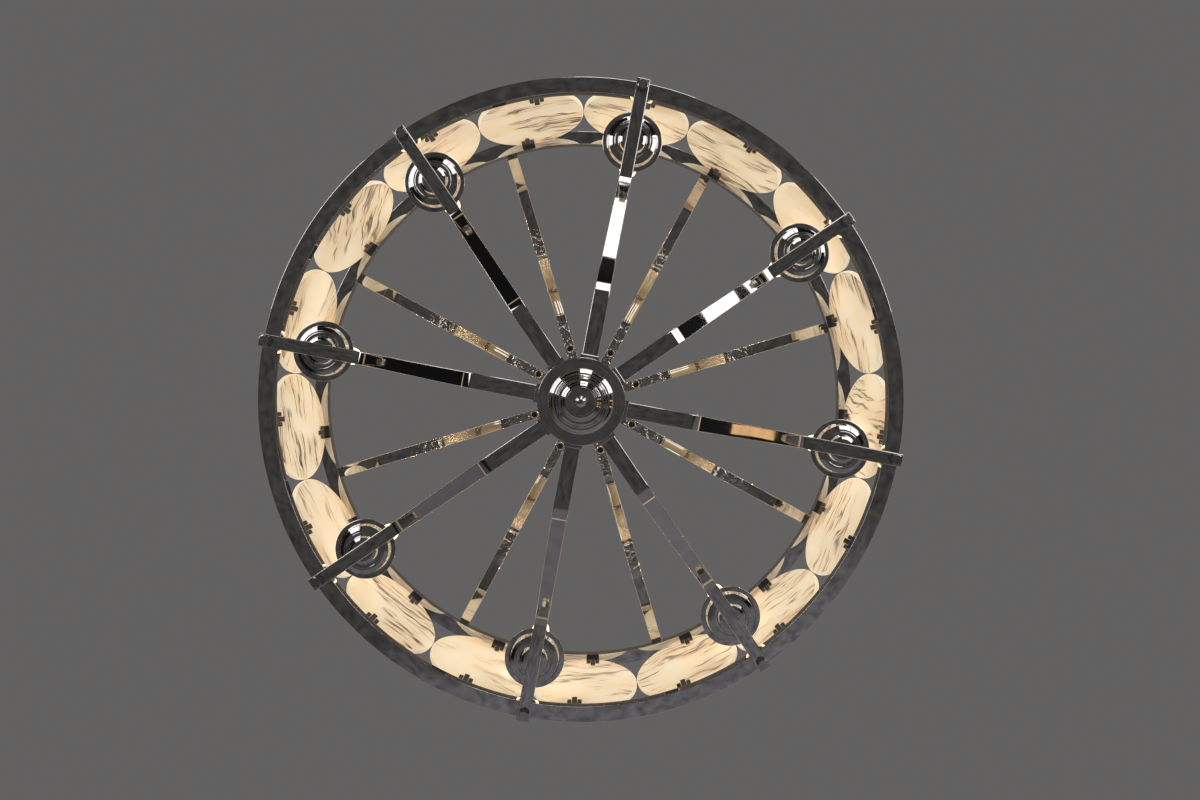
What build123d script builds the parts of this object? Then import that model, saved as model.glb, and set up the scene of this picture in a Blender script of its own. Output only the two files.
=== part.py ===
from build123d import *
from math import pi, radians, tan
import os

# A two-wheel ceiling chandelier with upright stone discs. Sizes are in millimetres and +Z is up.
# The origin is on the ceiling, at the middle of the ceiling bar's top face.

# Fits
SEAT = 0.3               # gap round a curved or hidden seat
RUNNING = 0.05           # radial gap of a pin that turns in its bore
THREAD = 0.1             # radial gap of a bolt in its tapped hole

# The stone discs that stand in a circle between the rings
DISC_COUNT = 17
DISC_DIAMETER = 200.0
DISC_THICKNESS = 9.0
DISC_SPACE = 0.6         # between the nearest edges of two discs
DISC_TURN = 15.7         # azimuth of the first disc
WHEEL_TWIST = 3.5        # how far the upper wheel's clips are turned against the lower ones

# The two rings
DROP = 900.0             # ceiling to the underside of the lower ring
RING_WIDTH = 27.0
RING_HEIGHT = 13.0

# The three-tined clips that grip each disc at its foot and its head
CLIP_BASE = 1.0
CLIP_WIDTH = 26.0
TINE_THICKNESS = 2.6
TINE_GAP = 0.9
MIDDLE_TINE_WIDTH = 9.4
MIDDLE_TINE_HEIGHT = 36.0
SIDE_TINE_HEIGHT = 27.0

# Arms. Lower ones run under the lower ring, upper ones lie on the upper ring.
ARM_COUNT = 8
ARM_WIDTH = 22.6
ARM_BEND = 9.0           # radius inside a bend
ARM_OVERHANG = 2.5       # how far an arm's end stands past the ring
LOWER_ARM_THICKNESS = 10.0
LOWER_ARM_WALL = 1.8
LOWER_ARM_FALL = 190.0
LOWER_ARM_FLAT = 100.0   # from the drum to the first bend
SHOULDER_SPACE = 77.0    # from the second bend to the candle's axis
UPPER_ARM_THICKNESS = 8.0
UPPER_ARM_RISE = 125.0
UPPER_ARM_FLAT = 69.0    # from the hub's lug to the bend
UPPER_SHOULDER_SPACE = 228.0
UPPER_ARM_TURN = 17.7    # azimuth of the first upper arm
FLANGE_THICKNESS = 5.1
FLANGE_SIDE = 1.4        # how far the flange stands past the arm on each side
FLANGE_LIP = 8.0         # the same, above and below

# Hexagon bolts that hold the arms to the rings
BOLT_RADIUS = 5.0
BOLT_HEAD = 17.0         # across flats
BOLT_HEAD_HEIGHT = 7.5
BOLT_OFFSET = 3.0        # outwards from the middle of the ring
BOLT_COVER = 2.0         # ring left over the bolt's tip

# Lower hub: a drum, a stepped dome and a ball finial
DRUM_RADIUS = 60.0
DRUM_WALL = 5.0
DRUM_LIP = 2.0           # how far the drum reaches below the flanges
DRUM_LID = 6.0
DOME_LIP = 0.5           # how far the dome stands out past the drum
DOME_WALL = 1.5
DOME_RIM = 1.8
DOME_STEP = 5.7          # height of each step
DOME_STEP_DRAFT = 5.7    # width of its slanted side
DOME_TREADS = (15.5, 2.4, 3.6)
FINIAL_RADIUS = 8.3
FINIAL_NECK = 5.0
FINIAL_NECK_LENGTH = 1.0 # between the ball and the dome
STUD_RADIUS = 3.0
FLANGE_SCREW_RADIUS = 2.0
FLANGE_SCREW_HEAD = 3.5
FLANGE_SCREW_HEAD_HEIGHT = 3.0

# Upper hub, with a lug on every arm
HUB_RADIUS = 90.0
HUB_RIM = 6.0
HUB_SKIRT = 3.0
HUB_PLATE = 7.0
HUB_BOSS_WALL = 8.0
HUB_BOSS_HEIGHT = 20.0
HUB_NECK = 12.0
LUG_LENGTH = 44.0
LUG_INSET = 1.3          # the lug is narrower than the arm by this on each side
LUG_SCREW_INSET = 13.0   # from the lug's tip
LUG_SCREW_RADIUS = 4.0
LUG_SCREW_HEAD = 6.5
LUG_SCREW_HEAD_HEIGHT = 8.0
LUG_SOCKET = 6.0         # across flats

# The column between the hubs and the stem to the ceiling
COLUMN_RADIUS = 16.0
COLUMN_WALL = 2.5
COLUMN_FLANGE_WIDTH = 10.0
COLUMN_FLANGE = 4.0
STEM_RADIUS = 11.0
STEM_WALL = 2.4

# Candle fittings
CANDLE_INSET = 84.0      # from the middle of the ring to the candle's axis
CUP_WALL = 1.4
CUP_FOOT = 18.0
CUP_BANDS = ((6.3, 2.8), (9.1, 4.2))    # width and rise of its two sloped bands
CUP_STEPS = ((1.5, 2.0), (1.8, 2.2))    # width and rise of the steep step above each
CUP_TREADS = ((8.7, 0.4), (5.6, 0.4))   # the same for the flat ring and the rim
CUP_EDGE_BEVEL = 1.0
CUP_EDGE_HEIGHT = 2.2
SLEEVE_RADIUS = 11.5
SLEEVE_WALL = 1.1
SLEEVE_TOP = 100.0       # above the arm
NIPPLE_RADIUS = 5.0
NIPPLE_BORE = 3.3
NIPPLE_COVER = 2.0       # from the top of the nipple's bore to the holder's foot
NUT_RADIUS = 9.0
NUT_HEIGHT = 4.0
HOLDER_RADIUS = 9.8
HOLDER_BORE = 7.3
HOLDER_FOOT = 60.0
HOLDER_FLOOR = 10.0      # thickness of the holder's closed end
HOLDER_SINK = 1.0        # how far the holder's mouth lies below the sleeve's edge
CAP_RADIUS = 6.9
CAP_CONTACT = 3.6
CAP_TAPER = 3.5
BULB_LIFT = 1.0          # glass above the sleeve's edge
BULB_LENGTH = 82.0
BULB_RADIUS = 17.5
BULB_WIDEST = 35.0       # above the glass's foot
BULB_WALL = 1.0
BULB_NECK = 7.5
BULB_BELLY = 14.7        # radius half way up to the widest place
BULB_TAPER = 13.3        # radius half way from there to the tip
BULB_NIB = 1.6
POST_HEIGHT = 22.8       # glass post inside the bulb
POST_FOOT = 2.5
POST_TIP = 1.6

# Wiring
LEAD_RADIUS = 1.5
LEAD_BEND = 6.0
LEAD_HOLE = 2.4
SUPPLY_RADIUS = 3.0
SUPPLY_SIDE_SPACE = 1.3  # between the supply cable and the column's wall
SUPPLY_PLAY = 1.0        # round the cable in its holes
SUPPLY_BEND = 8.0
SUPPLY_EASE = 40.0       # length and radius of the cable's shift to the stem's axis
TERMINAL_SPACE = 11.0    # from the terminal ring to the drum's wall
TERMINAL_PLAY = 1.0      # round the column's flange
TERMINAL_HEIGHT = 18.0
CONNECTOR_LENGTH = 20.0
CONNECTOR_WIDTH = 18.0
CONNECTOR_HEIGHT = 13.0
CONNECTOR_SPACE = 14.0   # from the swivel block's side

# Hang-straight joint and canopy
BAR_END = 6.5            # steel left past each slot
BAR_WIDTH = 25.0
BAR_THICKNESS = 6.0
SLOT_SPACING = 88.9
SLOT_LENGTH = 14.0
SLOT_RADIUS = 3.25
SHANK_COVER = 1.0        # bar left over the hanger's shank
PIN_RADIUS = 4.0
PIN_OVERHANG = 1.5
BLOCK_SIZE = 22.0
BLOCK_SPACE = 4.0        # over the swivel block, for its swing
EAR_THICKNESS = 6.0
EAR_WALL = 5.0           # round a pin
EAR_GAP = 0.5
BRIDGE = 7.0
PIN_SPACING = 16.0
FOOT_GAP = 11.0          # room for the supply cable under the swivel block
FOOT = 6.0
FOOT_LIP = 2.0
SOCKET = 10.0
SOCKET_WALL = 4.5
CANOPY_MARGIN = 17.0     # how far the canopy reaches past the bar's ends
CANOPY_GAP = 5.5         # open joint at the ceiling
CANOPY_WALL = 1.2
CANOPY_CLEARANCE = 1.0   # between its floor and the stem's socket
CANOPY_ROUND = 46.0      # radius of the bell's side view
CANOPY_BAND = 11.0       # height of the straight rim
CANOPY_BAND_STEP = 3.5
COLLAR_RADIUS = 17.0
COLLAR_HEIGHT = 12.0
COLLAR_CHAMFER = 2.0

# Radii that follow
DISC_FACE_RADIUS = (DISC_DIAMETER + DISC_SPACE) / 2 / tan(pi / DISC_COUNT)
RING_RADIUS = DISC_FACE_RADIUS + DISC_THICKNESS / 2
BOLT_CIRCLE = RING_RADIUS + BOLT_OFFSET
ARM_REACH = RING_RADIUS + RING_WIDTH / 2 + ARM_OVERHANG
CANDLE_CIRCLE = RING_RADIUS - CANDLE_INSET
LOWER_KNEE = DRUM_RADIUS + LOWER_ARM_FLAT
LOWER_SHOULDER = CANDLE_CIRCLE - SHOULDER_SPACE
FLANGE_FACE = DRUM_RADIUS + SEAT + FLANGE_THICKNESS
LUG_REACH = HUB_RADIUS + LUG_LENGTH
LUG_SCREW_CIRCLE = LUG_REACH - LUG_SCREW_INSET
UPPER_KNEE = LUG_REACH + UPPER_ARM_FLAT
UPPER_SHOULDER = RING_RADIUS - UPPER_SHOULDER_SPACE
COLUMN_BORE = COLUMN_RADIUS - COLUMN_WALL
COLUMN_FLANGE_RADIUS = COLUMN_RADIUS + COLUMN_FLANGE_WIDTH
HUB_BOSS_RADIUS = COLUMN_RADIUS + HUB_BOSS_WALL
STEM_BORE = STEM_RADIUS - STEM_WALL
SUPPLY_OFFSET = COLUMN_BORE - SUPPLY_SIDE_SPACE - SUPPLY_RADIUS
TERMINAL_INNER = COLUMN_FLANGE_RADIUS + TERMINAL_PLAY
TERMINAL_OUTER = DRUM_RADIUS - DRUM_WALL - TERMINAL_SPACE
EAR_RADIUS = PIN_RADIUS + EAR_WALL
BAR_LENGTH = SLOT_SPACING + SLOT_LENGTH + 2 * BAR_END
CANOPY_RADIUS = BAR_LENGTH / 2 + CANOPY_MARGIN

# Levels that follow
BOLT_BITE = RING_HEIGHT - BOLT_COVER
RING_BOTTOM = -DROP
RING_TOP = RING_BOTTOM + RING_HEIGHT
DISC_SPAN = DISC_DIAMETER + 2 * (CLIP_BASE + SEAT)
DISC_CENTRE = RING_TOP + DISC_SPAN / 2
UPPER_RING_BOTTOM = RING_TOP + DISC_SPAN
UPPER_RING_TOP = UPPER_RING_BOTTOM + RING_HEIGHT
LOWER_ARM_OUTER = RING_BOTTOM - LOWER_ARM_THICKNESS
LOWER_ARM_INNER = LOWER_ARM_OUTER - LOWER_ARM_FALL
LOWER_ARM_MIDDLE = LOWER_ARM_INNER + LOWER_ARM_THICKNESS / 2
UPPER_ARM_INNER = UPPER_RING_TOP + UPPER_ARM_RISE
DRUM_BOTTOM = LOWER_ARM_INNER - FLANGE_LIP - DRUM_LIP
DRUM_CEILING = LOWER_ARM_INNER + LOWER_ARM_THICKNESS + FLANGE_LIP
DRUM_TOP = DRUM_CEILING + DRUM_LID
LUG_BOTTOM = UPPER_ARM_INNER + UPPER_ARM_THICKNESS
HUB_TOP = LUG_BOTTOM + HUB_PLATE
HUB_BOSS_TOP = HUB_TOP + HUB_BOSS_HEIGHT
COLUMN_TOP = UPPER_ARM_INNER - HUB_SKIRT
STEM_SEAT = HUB_TOP - HUB_PLATE / 2
HOLDER_INSIDE = HOLDER_FOOT + HOLDER_FLOOR
HOLDER_TOP = SLEEVE_TOP - HOLDER_SINK
NIPPLE_TOP = HOLDER_FOOT - NIPPLE_COVER
BULB_FOOT = SLEEVE_TOP + BULB_LIFT
UPPER_PIN = -BAR_THICKNESS - BRIDGE - BLOCK_SPACE - EAR_RADIUS
LOWER_PIN = UPPER_PIN - PIN_SPACING
BLOCK_BOTTOM = LOWER_PIN - EAR_RADIUS
FOOT_TOP = BLOCK_BOTTOM - FOOT_GAP
FOOT_BOTTOM = FOOT_TOP - FOOT
SOCKET_BOTTOM = FOOT_BOTTOM - SOCKET
CANOPY_BOTTOM = SOCKET_BOTTOM - CANOPY_CLEARANCE - CANOPY_WALL

nodes = {}


def around(shape, count, start=0.0):
    """Copies of a shape, evenly spaced round the lamp's axis."""
    return [Rot(0, 0, start + k * 360 / count) * shape for k in range(count)]


def grouped(shapes):
    """Separate solids that share one node."""
    return Compound(children=[solid for shape in shapes for solid in shape.solids()])


def left_normal(start, end):
    """Unit normal to the left of a line in its side view."""
    run = Vector(end[0] - start[0], end[1] - start[1]).normalized()
    return Vector(-run.Y, run.X)


def beside(points, distance):
    """Corners of a line that runs at a distance to the left of the given one."""
    moved = []
    for place, corner in enumerate(points):
        before = points[place - 1] if place > 0 else None
        after = points[place + 1] if place < len(points) - 1 else None
        first = left_normal(before, corner) if before else left_normal(corner, after)
        second = left_normal(corner, after) if after else first
        shift = (first + second) * (distance / (1 + first.dot(second)))
        moved.append((corner[0] + shift.X, corner[1] + shift.Y))
    return moved


def spun(points):
    """A solid of revolution about the lamp's axis, from radii and heights."""
    outline = Polyline(*[(r, 0, z) for r, z in points], close=True)
    return revolve(make_face(outline), Axis.Z)


def spun_shell(points, wall):
    """A spun sheet of even thickness. The points are its outer side, with the wall to their left."""
    return spun(points + beside(points, wall)[::-1])


def upright(radius, bottom, top, x=0.0):
    """A vertical round bar between two heights."""
    return Pos(x, 0, (bottom + top) / 2) * Cylinder(radius, top - bottom)


def level_bar(radius, length, x, z):
    """A round bar along X, centred at a place in the side view."""
    return Pos(x, 0, z) * Rot(0, 90, 0) * Cylinder(radius, length)


def block(low, high):
    """A box between two corners."""
    middle = [(a + b) / 2 for a, b in zip(low, high)]
    return Pos(*middle) * Box(*[b - a for a, b in zip(low, high)])


def bent_bar(points, bend, thickness, width):
    """A bar of rectangular section, bent in its side view. The points are its underside."""
    turns = []
    for before, corner, after in zip(points, points[1:], points[2:]):
        turns.append(left_normal(before, corner).cross(left_normal(corner, after)).Z > 0)
    wide = bend + thickness
    under = FilletPolyline(*points, radius=[wide if left else bend for left in turns])
    over = FilletPolyline(
        *beside(points, thickness), radius=[bend if left else wide for left in turns]
    )
    ends = [Line(under @ 0, over @ 0), Line(under @ 1, over @ 1)]
    side = make_face(Curve() + [under, over, *ends])
    return extrude(Plane.XZ * side, width / 2, both=True)


def hexagon(across_flats, bottom, top):
    """An upright hexagonal prism."""
    outline = RegularPolygon(across_flats / 2, 6, major_radius=False)
    return extrude(Pos(0, 0, bottom) * outline, top - bottom)


# Lower ring: a square-edged bar rolled to a hoop, tapped from below for the arm bolts.
hoop = Cylinder(RING_RADIUS + RING_WIDTH / 2, RING_HEIGHT)
hoop -= Cylinder(RING_RADIUS - RING_WIDTH / 2, RING_HEIGHT)
lower_ring = Pos(0, 0, RING_BOTTOM + RING_HEIGHT / 2) * hoop
tapped = upright(BOLT_RADIUS, RING_BOTTOM, RING_BOTTOM + BOLT_BITE + SEAT, BOLT_CIRCLE)
for hole in around(tapped, ARM_COUNT):
    lower_ring -= hole
nodes["lower_ring"] = lower_ring

# Upper ring: the same hoop, tapped from above.
upper_ring = Pos(0, 0, UPPER_RING_BOTTOM + RING_HEIGHT / 2) * hoop
tapped = upright(BOLT_RADIUS, UPPER_RING_TOP - BOLT_BITE - SEAT, UPPER_RING_TOP, BOLT_CIRCLE)
for hole in around(tapped, ARM_COUNT, UPPER_ARM_TURN):
    upper_ring -= hole
nodes["upper_ring"] = upper_ring

# Stone discs: each stands upright on the middle of the ring, facing the lamp's axis.
at_disc = Pos(RING_RADIUS, 0, DISC_CENTRE)
disc = at_disc * Rot(0, 90, 0) * Cylinder(DISC_DIAMETER / 2, DISC_THICKNESS)
for number, placed in enumerate(around(disc, DISC_COUNT, DISC_TURN), start=1):
    nodes[f"disc_{number:02d}"] = placed

# Clips: a saddle on the ring with three tines up each face of the disc, the middle one longer.
tine_seat = DISC_THICKNESS / 2 + SEAT
side_tine_width = (CLIP_WIDTH - MIDDLE_TINE_WIDTH) / 2 - TINE_GAP
side_tine_place = (CLIP_WIDTH - side_tine_width) / 2
shank = SIDE_TINE_HEIGHT - side_tine_width / 2
comb = Pos(0, MIDDLE_TINE_HEIGHT / 2) * Rectangle(MIDDLE_TINE_WIDTH, MIDDLE_TINE_HEIGHT)
for side in (-1, 1):
    comb += Pos(side * side_tine_place, shank / 2) * Rectangle(side_tine_width, shank)
    comb += Pos(side * side_tine_place, shank) * Circle(side_tine_width / 2)
comb += Pos(0, SIDE_TINE_HEIGHT / 4) * Rectangle(CLIP_WIDTH, SIDE_TINE_HEIGHT / 2)
comb_plate = extrude(Plane.YZ * comb, TINE_THICKNESS)
twist_shift = RING_RADIUS * radians(WHEEL_TWIST / 2)
clip_foot = Pos(0, twist_shift, -DISC_SPAN / 2)
clip = clip_foot * Pos(tine_seat, 0, 0) * comb_plate
clip += clip_foot * Pos(-tine_seat - TINE_THICKNESS, 0, 0) * comb_plate
saddle_edge = twist_shift + CLIP_WIDTH / 2
saddle_rise = DISC_DIAMETER / 2 - (DISC_DIAMETER**2 / 4 - saddle_edge**2) ** 0.5
clip += clip_foot * block(
    (-tine_seat, -CLIP_WIDTH / 2, 0),
    (tine_seat, CLIP_WIDTH / 2, CLIP_BASE + saddle_rise),
)
clip -= Rot(0, 90, 0) * Cylinder(DISC_DIAMETER / 2 + SEAT, 2 * tine_seat)
foot_clips = around(at_disc * clip, DISC_COUNT, DISC_TURN)
head_clips = around(at_disc * Rot(180, 0, 0) * clip, DISC_COUNT, DISC_TURN)
nodes["disc_clips"] = grouped(foot_clips + head_clips)

# Lower arms: hollow bars, bent twice, with a flange at the hub and a solid outer end.
lower_line = [
    (DRUM_RADIUS + SEAT, LOWER_ARM_INNER),
    (LOWER_KNEE, LOWER_ARM_INNER),
    (LOWER_SHOULDER, LOWER_ARM_OUTER),
    (ARM_REACH, LOWER_ARM_OUTER),
]
arm = bent_bar(lower_line, ARM_BEND, LOWER_ARM_THICKNESS, ARM_WIDTH)
flange_width = ARM_WIDTH + 2 * FLANGE_SIDE
arm += block(
    (DRUM_RADIUS / 2, -flange_width / 2, LOWER_ARM_INNER - FLANGE_LIP),
    (FLANGE_FACE, flange_width / 2, LOWER_ARM_INNER + LOWER_ARM_THICKNESS + FLANGE_LIP),
)
cavity_line = beside(lower_line, LOWER_ARM_WALL)
cavity_line[0] = (FLANGE_FACE, cavity_line[0][1])
cavity_line[-1] = (CANDLE_CIRCLE + NUT_RADIUS, cavity_line[-1][1])
cavity_height = LOWER_ARM_THICKNESS - 2 * LOWER_ARM_WALL
cavity_width = ARM_WIDTH - 2 * LOWER_ARM_WALL
arm -= bent_bar(cavity_line, ARM_BEND + LOWER_ARM_WALL, cavity_height, cavity_width)
arm -= upright(DRUM_RADIUS + SEAT, DRUM_BOTTOM, DRUM_TOP)
lead_bore = level_bar(LEAD_HOLE, 2 * (DRUM_WALL + FLANGE_THICKNESS), DRUM_RADIUS, LOWER_ARM_MIDDLE)
arm -= lead_bore
arm -= upright(NIPPLE_RADIUS + SEAT, RING_BOTTOM - LOWER_ARM_THICKNESS / 2, RING_BOTTOM, CANDLE_CIRCLE)
arm -= upright(BOLT_RADIUS + SEAT, LOWER_ARM_OUTER, RING_BOTTOM, BOLT_CIRCLE)
screw_levels = [
    LOWER_ARM_INNER - FLANGE_LIP / 2,
    LOWER_ARM_INNER + LOWER_ARM_THICKNESS + FLANGE_LIP / 2,
]
screw_bore_length = 2 * (DRUM_WALL + FLANGE_THICKNESS)
screw_bores = [level_bar(FLANGE_SCREW_RADIUS, screw_bore_length, DRUM_RADIUS, z) for z in screw_levels]
for bore in screw_bores:
    arm -= bore
for number, placed in enumerate(around(arm, ARM_COUNT), start=1):
    nodes[f"lower_arm_{number}"] = placed

# Upper arms: flat bars on top of the upper ring that rise to the upper hub.
upper_line = [
    (HUB_RADIUS + SEAT, UPPER_ARM_INNER),
    (UPPER_KNEE, UPPER_ARM_INNER),
    (UPPER_SHOULDER, UPPER_RING_TOP),
    (ARM_REACH, UPPER_RING_TOP),
]
arm = bent_bar(upper_line, ARM_BEND, UPPER_ARM_THICKNESS, ARM_WIDTH)
upper_arm_top = UPPER_RING_TOP + UPPER_ARM_THICKNESS
arm -= upright(BOLT_RADIUS + SEAT, UPPER_RING_TOP, upper_arm_top, BOLT_CIRCLE)
arm -= upright(LUG_SCREW_RADIUS + SEAT, UPPER_ARM_INNER, LUG_BOTTOM, LUG_SCREW_CIRCLE)
for number, placed in enumerate(around(arm, ARM_COUNT, UPPER_ARM_TURN), start=1):
    nodes[f"upper_arm_{number}"] = placed


def arm_bolt(arm_thickness):
    """A bolt that hangs head down, through an arm and up into a ring."""
    head = hexagon(BOLT_HEAD, -BOLT_HEAD_HEIGHT, 0)
    return head + upright(BOLT_RADIUS - THREAD, 0, arm_thickness + BOLT_BITE)


# Arm bolts: hexagon heads under the lower arms and on top of the upper arms.
low_bolt = Pos(BOLT_CIRCLE, 0, LOWER_ARM_OUTER) * arm_bolt(LOWER_ARM_THICKNESS)
high_bolt = Pos(BOLT_CIRCLE, 0, upper_arm_top) * Rot(180, 0, 0) * arm_bolt(UPPER_ARM_THICKNESS)
low_bolts = around(low_bolt, ARM_COUNT)
high_bolts = around(high_bolt, ARM_COUNT, UPPER_ARM_TURN)
nodes["arm_bolts"] = grouped(low_bolts + high_bolts)

# Hub drum: a turned cup, open below, whose wall takes the arms' flanges.
drum = spun([
    (COLUMN_RADIUS + SEAT, DRUM_TOP),
    (COLUMN_RADIUS + SEAT, DRUM_CEILING),
    (DRUM_RADIUS - DRUM_WALL, DRUM_CEILING),
    (DRUM_RADIUS - DRUM_WALL, DRUM_BOTTOM),
    (DRUM_RADIUS, DRUM_BOTTOM),
    (DRUM_RADIUS, DRUM_TOP),
])
for bore in [lead_bore, *screw_bores]:
    for hole in around(bore, ARM_COUNT):
        drum -= hole
nodes["hub_drum"] = drum

# Hub dome: a spun sheet with a flat rim and three slanted steps down to a flat middle.
dome_rim_top = DRUM_BOTTOM - SEAT
dome_line = [
    (DRUM_RADIUS + DOME_LIP, dome_rim_top),
    (DRUM_RADIUS + DOME_LIP, dome_rim_top - DOME_RIM),
]
for tread in DOME_TREADS:
    edge, level = dome_line[-1][0] - tread, dome_line[-1][1]
    dome_line += [(edge, level), (edge - DOME_STEP_DRAFT, level - DOME_STEP)]
dome_bottom = dome_line[-1][1]
dome_line.append((STUD_RADIUS + SEAT, dome_bottom))
nodes["hub_dome"] = spun_shell(dome_line[::-1], DOME_WALL)

# Finial: a ball on a neck, whose stud screws into the column and carries the dome.
ball_centre = dome_bottom - FINIAL_NECK_LENGTH - FINIAL_RADIUS
finial = Pos(0, 0, ball_centre) * Sphere(FINIAL_RADIUS)
finial += upright(FINIAL_NECK, ball_centre, dome_bottom)
finial += upright(STUD_RADIUS - THREAD, ball_centre, DRUM_CEILING)
nodes["finial"] = finial

# Column: a tube with a flange that the drum hangs on, and a web tapped for the finial.
web_bottom = DRUM_CEILING - COLUMN_FLANGE
column = spun([
    (STUD_RADIUS, web_bottom),
    (COLUMN_FLANGE_RADIUS, web_bottom),
    (COLUMN_FLANGE_RADIUS, DRUM_CEILING),
    (COLUMN_RADIUS, DRUM_CEILING),
    (COLUMN_RADIUS, COLUMN_TOP),
    (COLUMN_BORE, COLUMN_TOP),
    (COLUMN_BORE, DRUM_CEILING),
    (STUD_RADIUS, DRUM_CEILING),
])
column -= upright(SUPPLY_RADIUS + SUPPLY_PLAY, web_bottom, DRUM_CEILING, SUPPLY_OFFSET)
nodes["column"] = column

# Upper hub: a skirted plate that seats on the column, with a boss for the stem and a lug over each arm.
upper_hub = spun([
    (COLUMN_RADIUS + SEAT, COLUMN_TOP - HUB_NECK),
    (HUB_BOSS_RADIUS, COLUMN_TOP - HUB_NECK),
    (HUB_BOSS_RADIUS, LUG_BOTTOM),
    (HUB_RADIUS - HUB_RIM, LUG_BOTTOM),
    (HUB_RADIUS - HUB_RIM, UPPER_ARM_INNER - HUB_SKIRT),
    (HUB_RADIUS, UPPER_ARM_INNER - HUB_SKIRT),
    (HUB_RADIUS, HUB_TOP),
    (HUB_BOSS_RADIUS, HUB_TOP),
    (HUB_BOSS_RADIUS, HUB_BOSS_TOP),
    (STEM_RADIUS + SEAT, HUB_BOSS_TOP),
    (STEM_RADIUS + SEAT, STEM_SEAT),
    (STEM_BORE, STEM_SEAT),
    (STEM_BORE, COLUMN_TOP),
    (COLUMN_RADIUS + SEAT, COLUMN_TOP),
])
lug_side = ARM_WIDTH / 2 - LUG_INSET
lug = block((HUB_RADIUS - HUB_RIM, -lug_side, LUG_BOTTOM), (LUG_REACH - lug_side, lug_side, HUB_TOP))
lug += upright(lug_side, LUG_BOTTOM, HUB_TOP, LUG_REACH - lug_side)
lug -= upright(LUG_SCREW_RADIUS, LUG_BOTTOM, HUB_TOP, LUG_SCREW_CIRCLE)
for placed in around(lug, ARM_COUNT, UPPER_ARM_TURN):
    upper_hub += placed
nodes["upper_hub"] = upper_hub

# Hub screws: one cap screw up through each upper arm, two through the drum into each flange.
cap_screw = upright(LUG_SCREW_HEAD, -LUG_SCREW_HEAD_HEIGHT, 0)
cap_screw += upright(LUG_SCREW_RADIUS - THREAD, 0, UPPER_ARM_THICKNESS + HUB_PLATE)
cap_screw -= hexagon(LUG_SOCKET, -LUG_SCREW_HEAD_HEIGHT, -LUG_SCREW_HEAD_HEIGHT / 2)
cap_screws = around(Pos(LUG_SCREW_CIRCLE, 0, UPPER_ARM_INNER) * cap_screw, ARM_COUNT, UPPER_ARM_TURN)
flange_screw = upright(FLANGE_SCREW_HEAD, -FLANGE_SCREW_HEAD_HEIGHT, 0)
flange_screw += upright(FLANGE_SCREW_RADIUS - THREAD, 0, DRUM_WALL + SEAT + FLANGE_THICKNESS)
flange_screws = []
for level in screw_levels:
    place = Pos(DRUM_RADIUS - DRUM_WALL - SEAT, 0, level) * Rot(0, 90, 0)
    flange_screws += around(place * flange_screw, ARM_COUNT)
nodes["hub_screws"] = grouped(cap_screws + flange_screws)

# Stem: the tube that carries the lamp.
nodes["stem"] = spun([
    (STEM_BORE, STEM_SEAT),
    (STEM_RADIUS, STEM_SEAT),
    (STEM_RADIUS, FOOT_BOTTOM),
    (STEM_BORE, FOOT_BOTTOM),
])

# Candle cups: spun dishes on the lower arms, each with two sloped bands, two steep steps, a flat rim
# and an edge turned up.
cup_line = [(NIPPLE_RADIUS + SEAT, 0.0), (CUP_FOOT, 0.0)]
for ring in zip(CUP_BANDS, CUP_STEPS, CUP_TREADS):
    for width, rise in ring:
        cup_line.append((cup_line[-1][0] + width, cup_line[-1][1] + rise))
rim_radius, rim_height = cup_line[-1]
edge_radius = rim_radius + CUP_EDGE_BEVEL
edge_height = rim_height + CUP_EDGE_BEVEL
cup_line += [(edge_radius, edge_height), (edge_radius, edge_height + CUP_EDGE_HEIGHT)]
at_candle = Pos(CANDLE_CIRCLE, 0, RING_BOTTOM)
nodes["candle_cups"] = grouped(around(at_candle * spun_shell(cup_line, CUP_WALL), ARM_COUNT))

# Candle sleeves: plain tubes that hide the lampholders.
sleeve = spun([
    (SLEEVE_RADIUS - SLEEVE_WALL, CUP_WALL),
    (SLEEVE_RADIUS, CUP_WALL),
    (SLEEVE_RADIUS, SLEEVE_TOP),
    (SLEEVE_RADIUS - SLEEVE_WALL, SLEEVE_TOP),
])
nodes["candle_sleeves"] = grouped(around(at_candle * sleeve, ARM_COUNT))

# Lampholders: a threaded nipple through the arm, a nut that clamps the cup, and the holder.
holder = spun([
    (NIPPLE_BORE, -LOWER_ARM_WALL),
    (NIPPLE_RADIUS, -LOWER_ARM_WALL),
    (NIPPLE_RADIUS, CUP_WALL),
    (NUT_RADIUS, CUP_WALL),
    (NUT_RADIUS, CUP_WALL + NUT_HEIGHT),
    (NIPPLE_RADIUS, CUP_WALL + NUT_HEIGHT),
    (NIPPLE_RADIUS, HOLDER_FOOT),
    (HOLDER_RADIUS, HOLDER_FOOT),
    (HOLDER_RADIUS, HOLDER_TOP),
    (HOLDER_BORE, HOLDER_TOP),
    (HOLDER_BORE, HOLDER_INSIDE),
    (0, HOLDER_INSIDE),
    (0, NIPPLE_TOP),
    (NIPPLE_BORE, NIPPLE_TOP),
])
nodes["lampholders"] = grouped(around(at_candle * holder, ARM_COUNT))

# Bulb caps: the screw cap with its contact and the glass post that carries the filament.
contact = HOLDER_INSIDE + SEAT
post_top = BULB_FOOT + POST_HEIGHT
cap = spun([
    (0, contact),
    (CAP_CONTACT, contact),
    (CAP_RADIUS, contact + CAP_TAPER),
    (CAP_RADIUS, BULB_FOOT),
    (POST_FOOT, BULB_FOOT),
    (POST_TIP, post_top),
    (0, post_top),
])
nodes["bulb_caps"] = grouped(around(at_candle * cap, ARM_COUNT))


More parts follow.
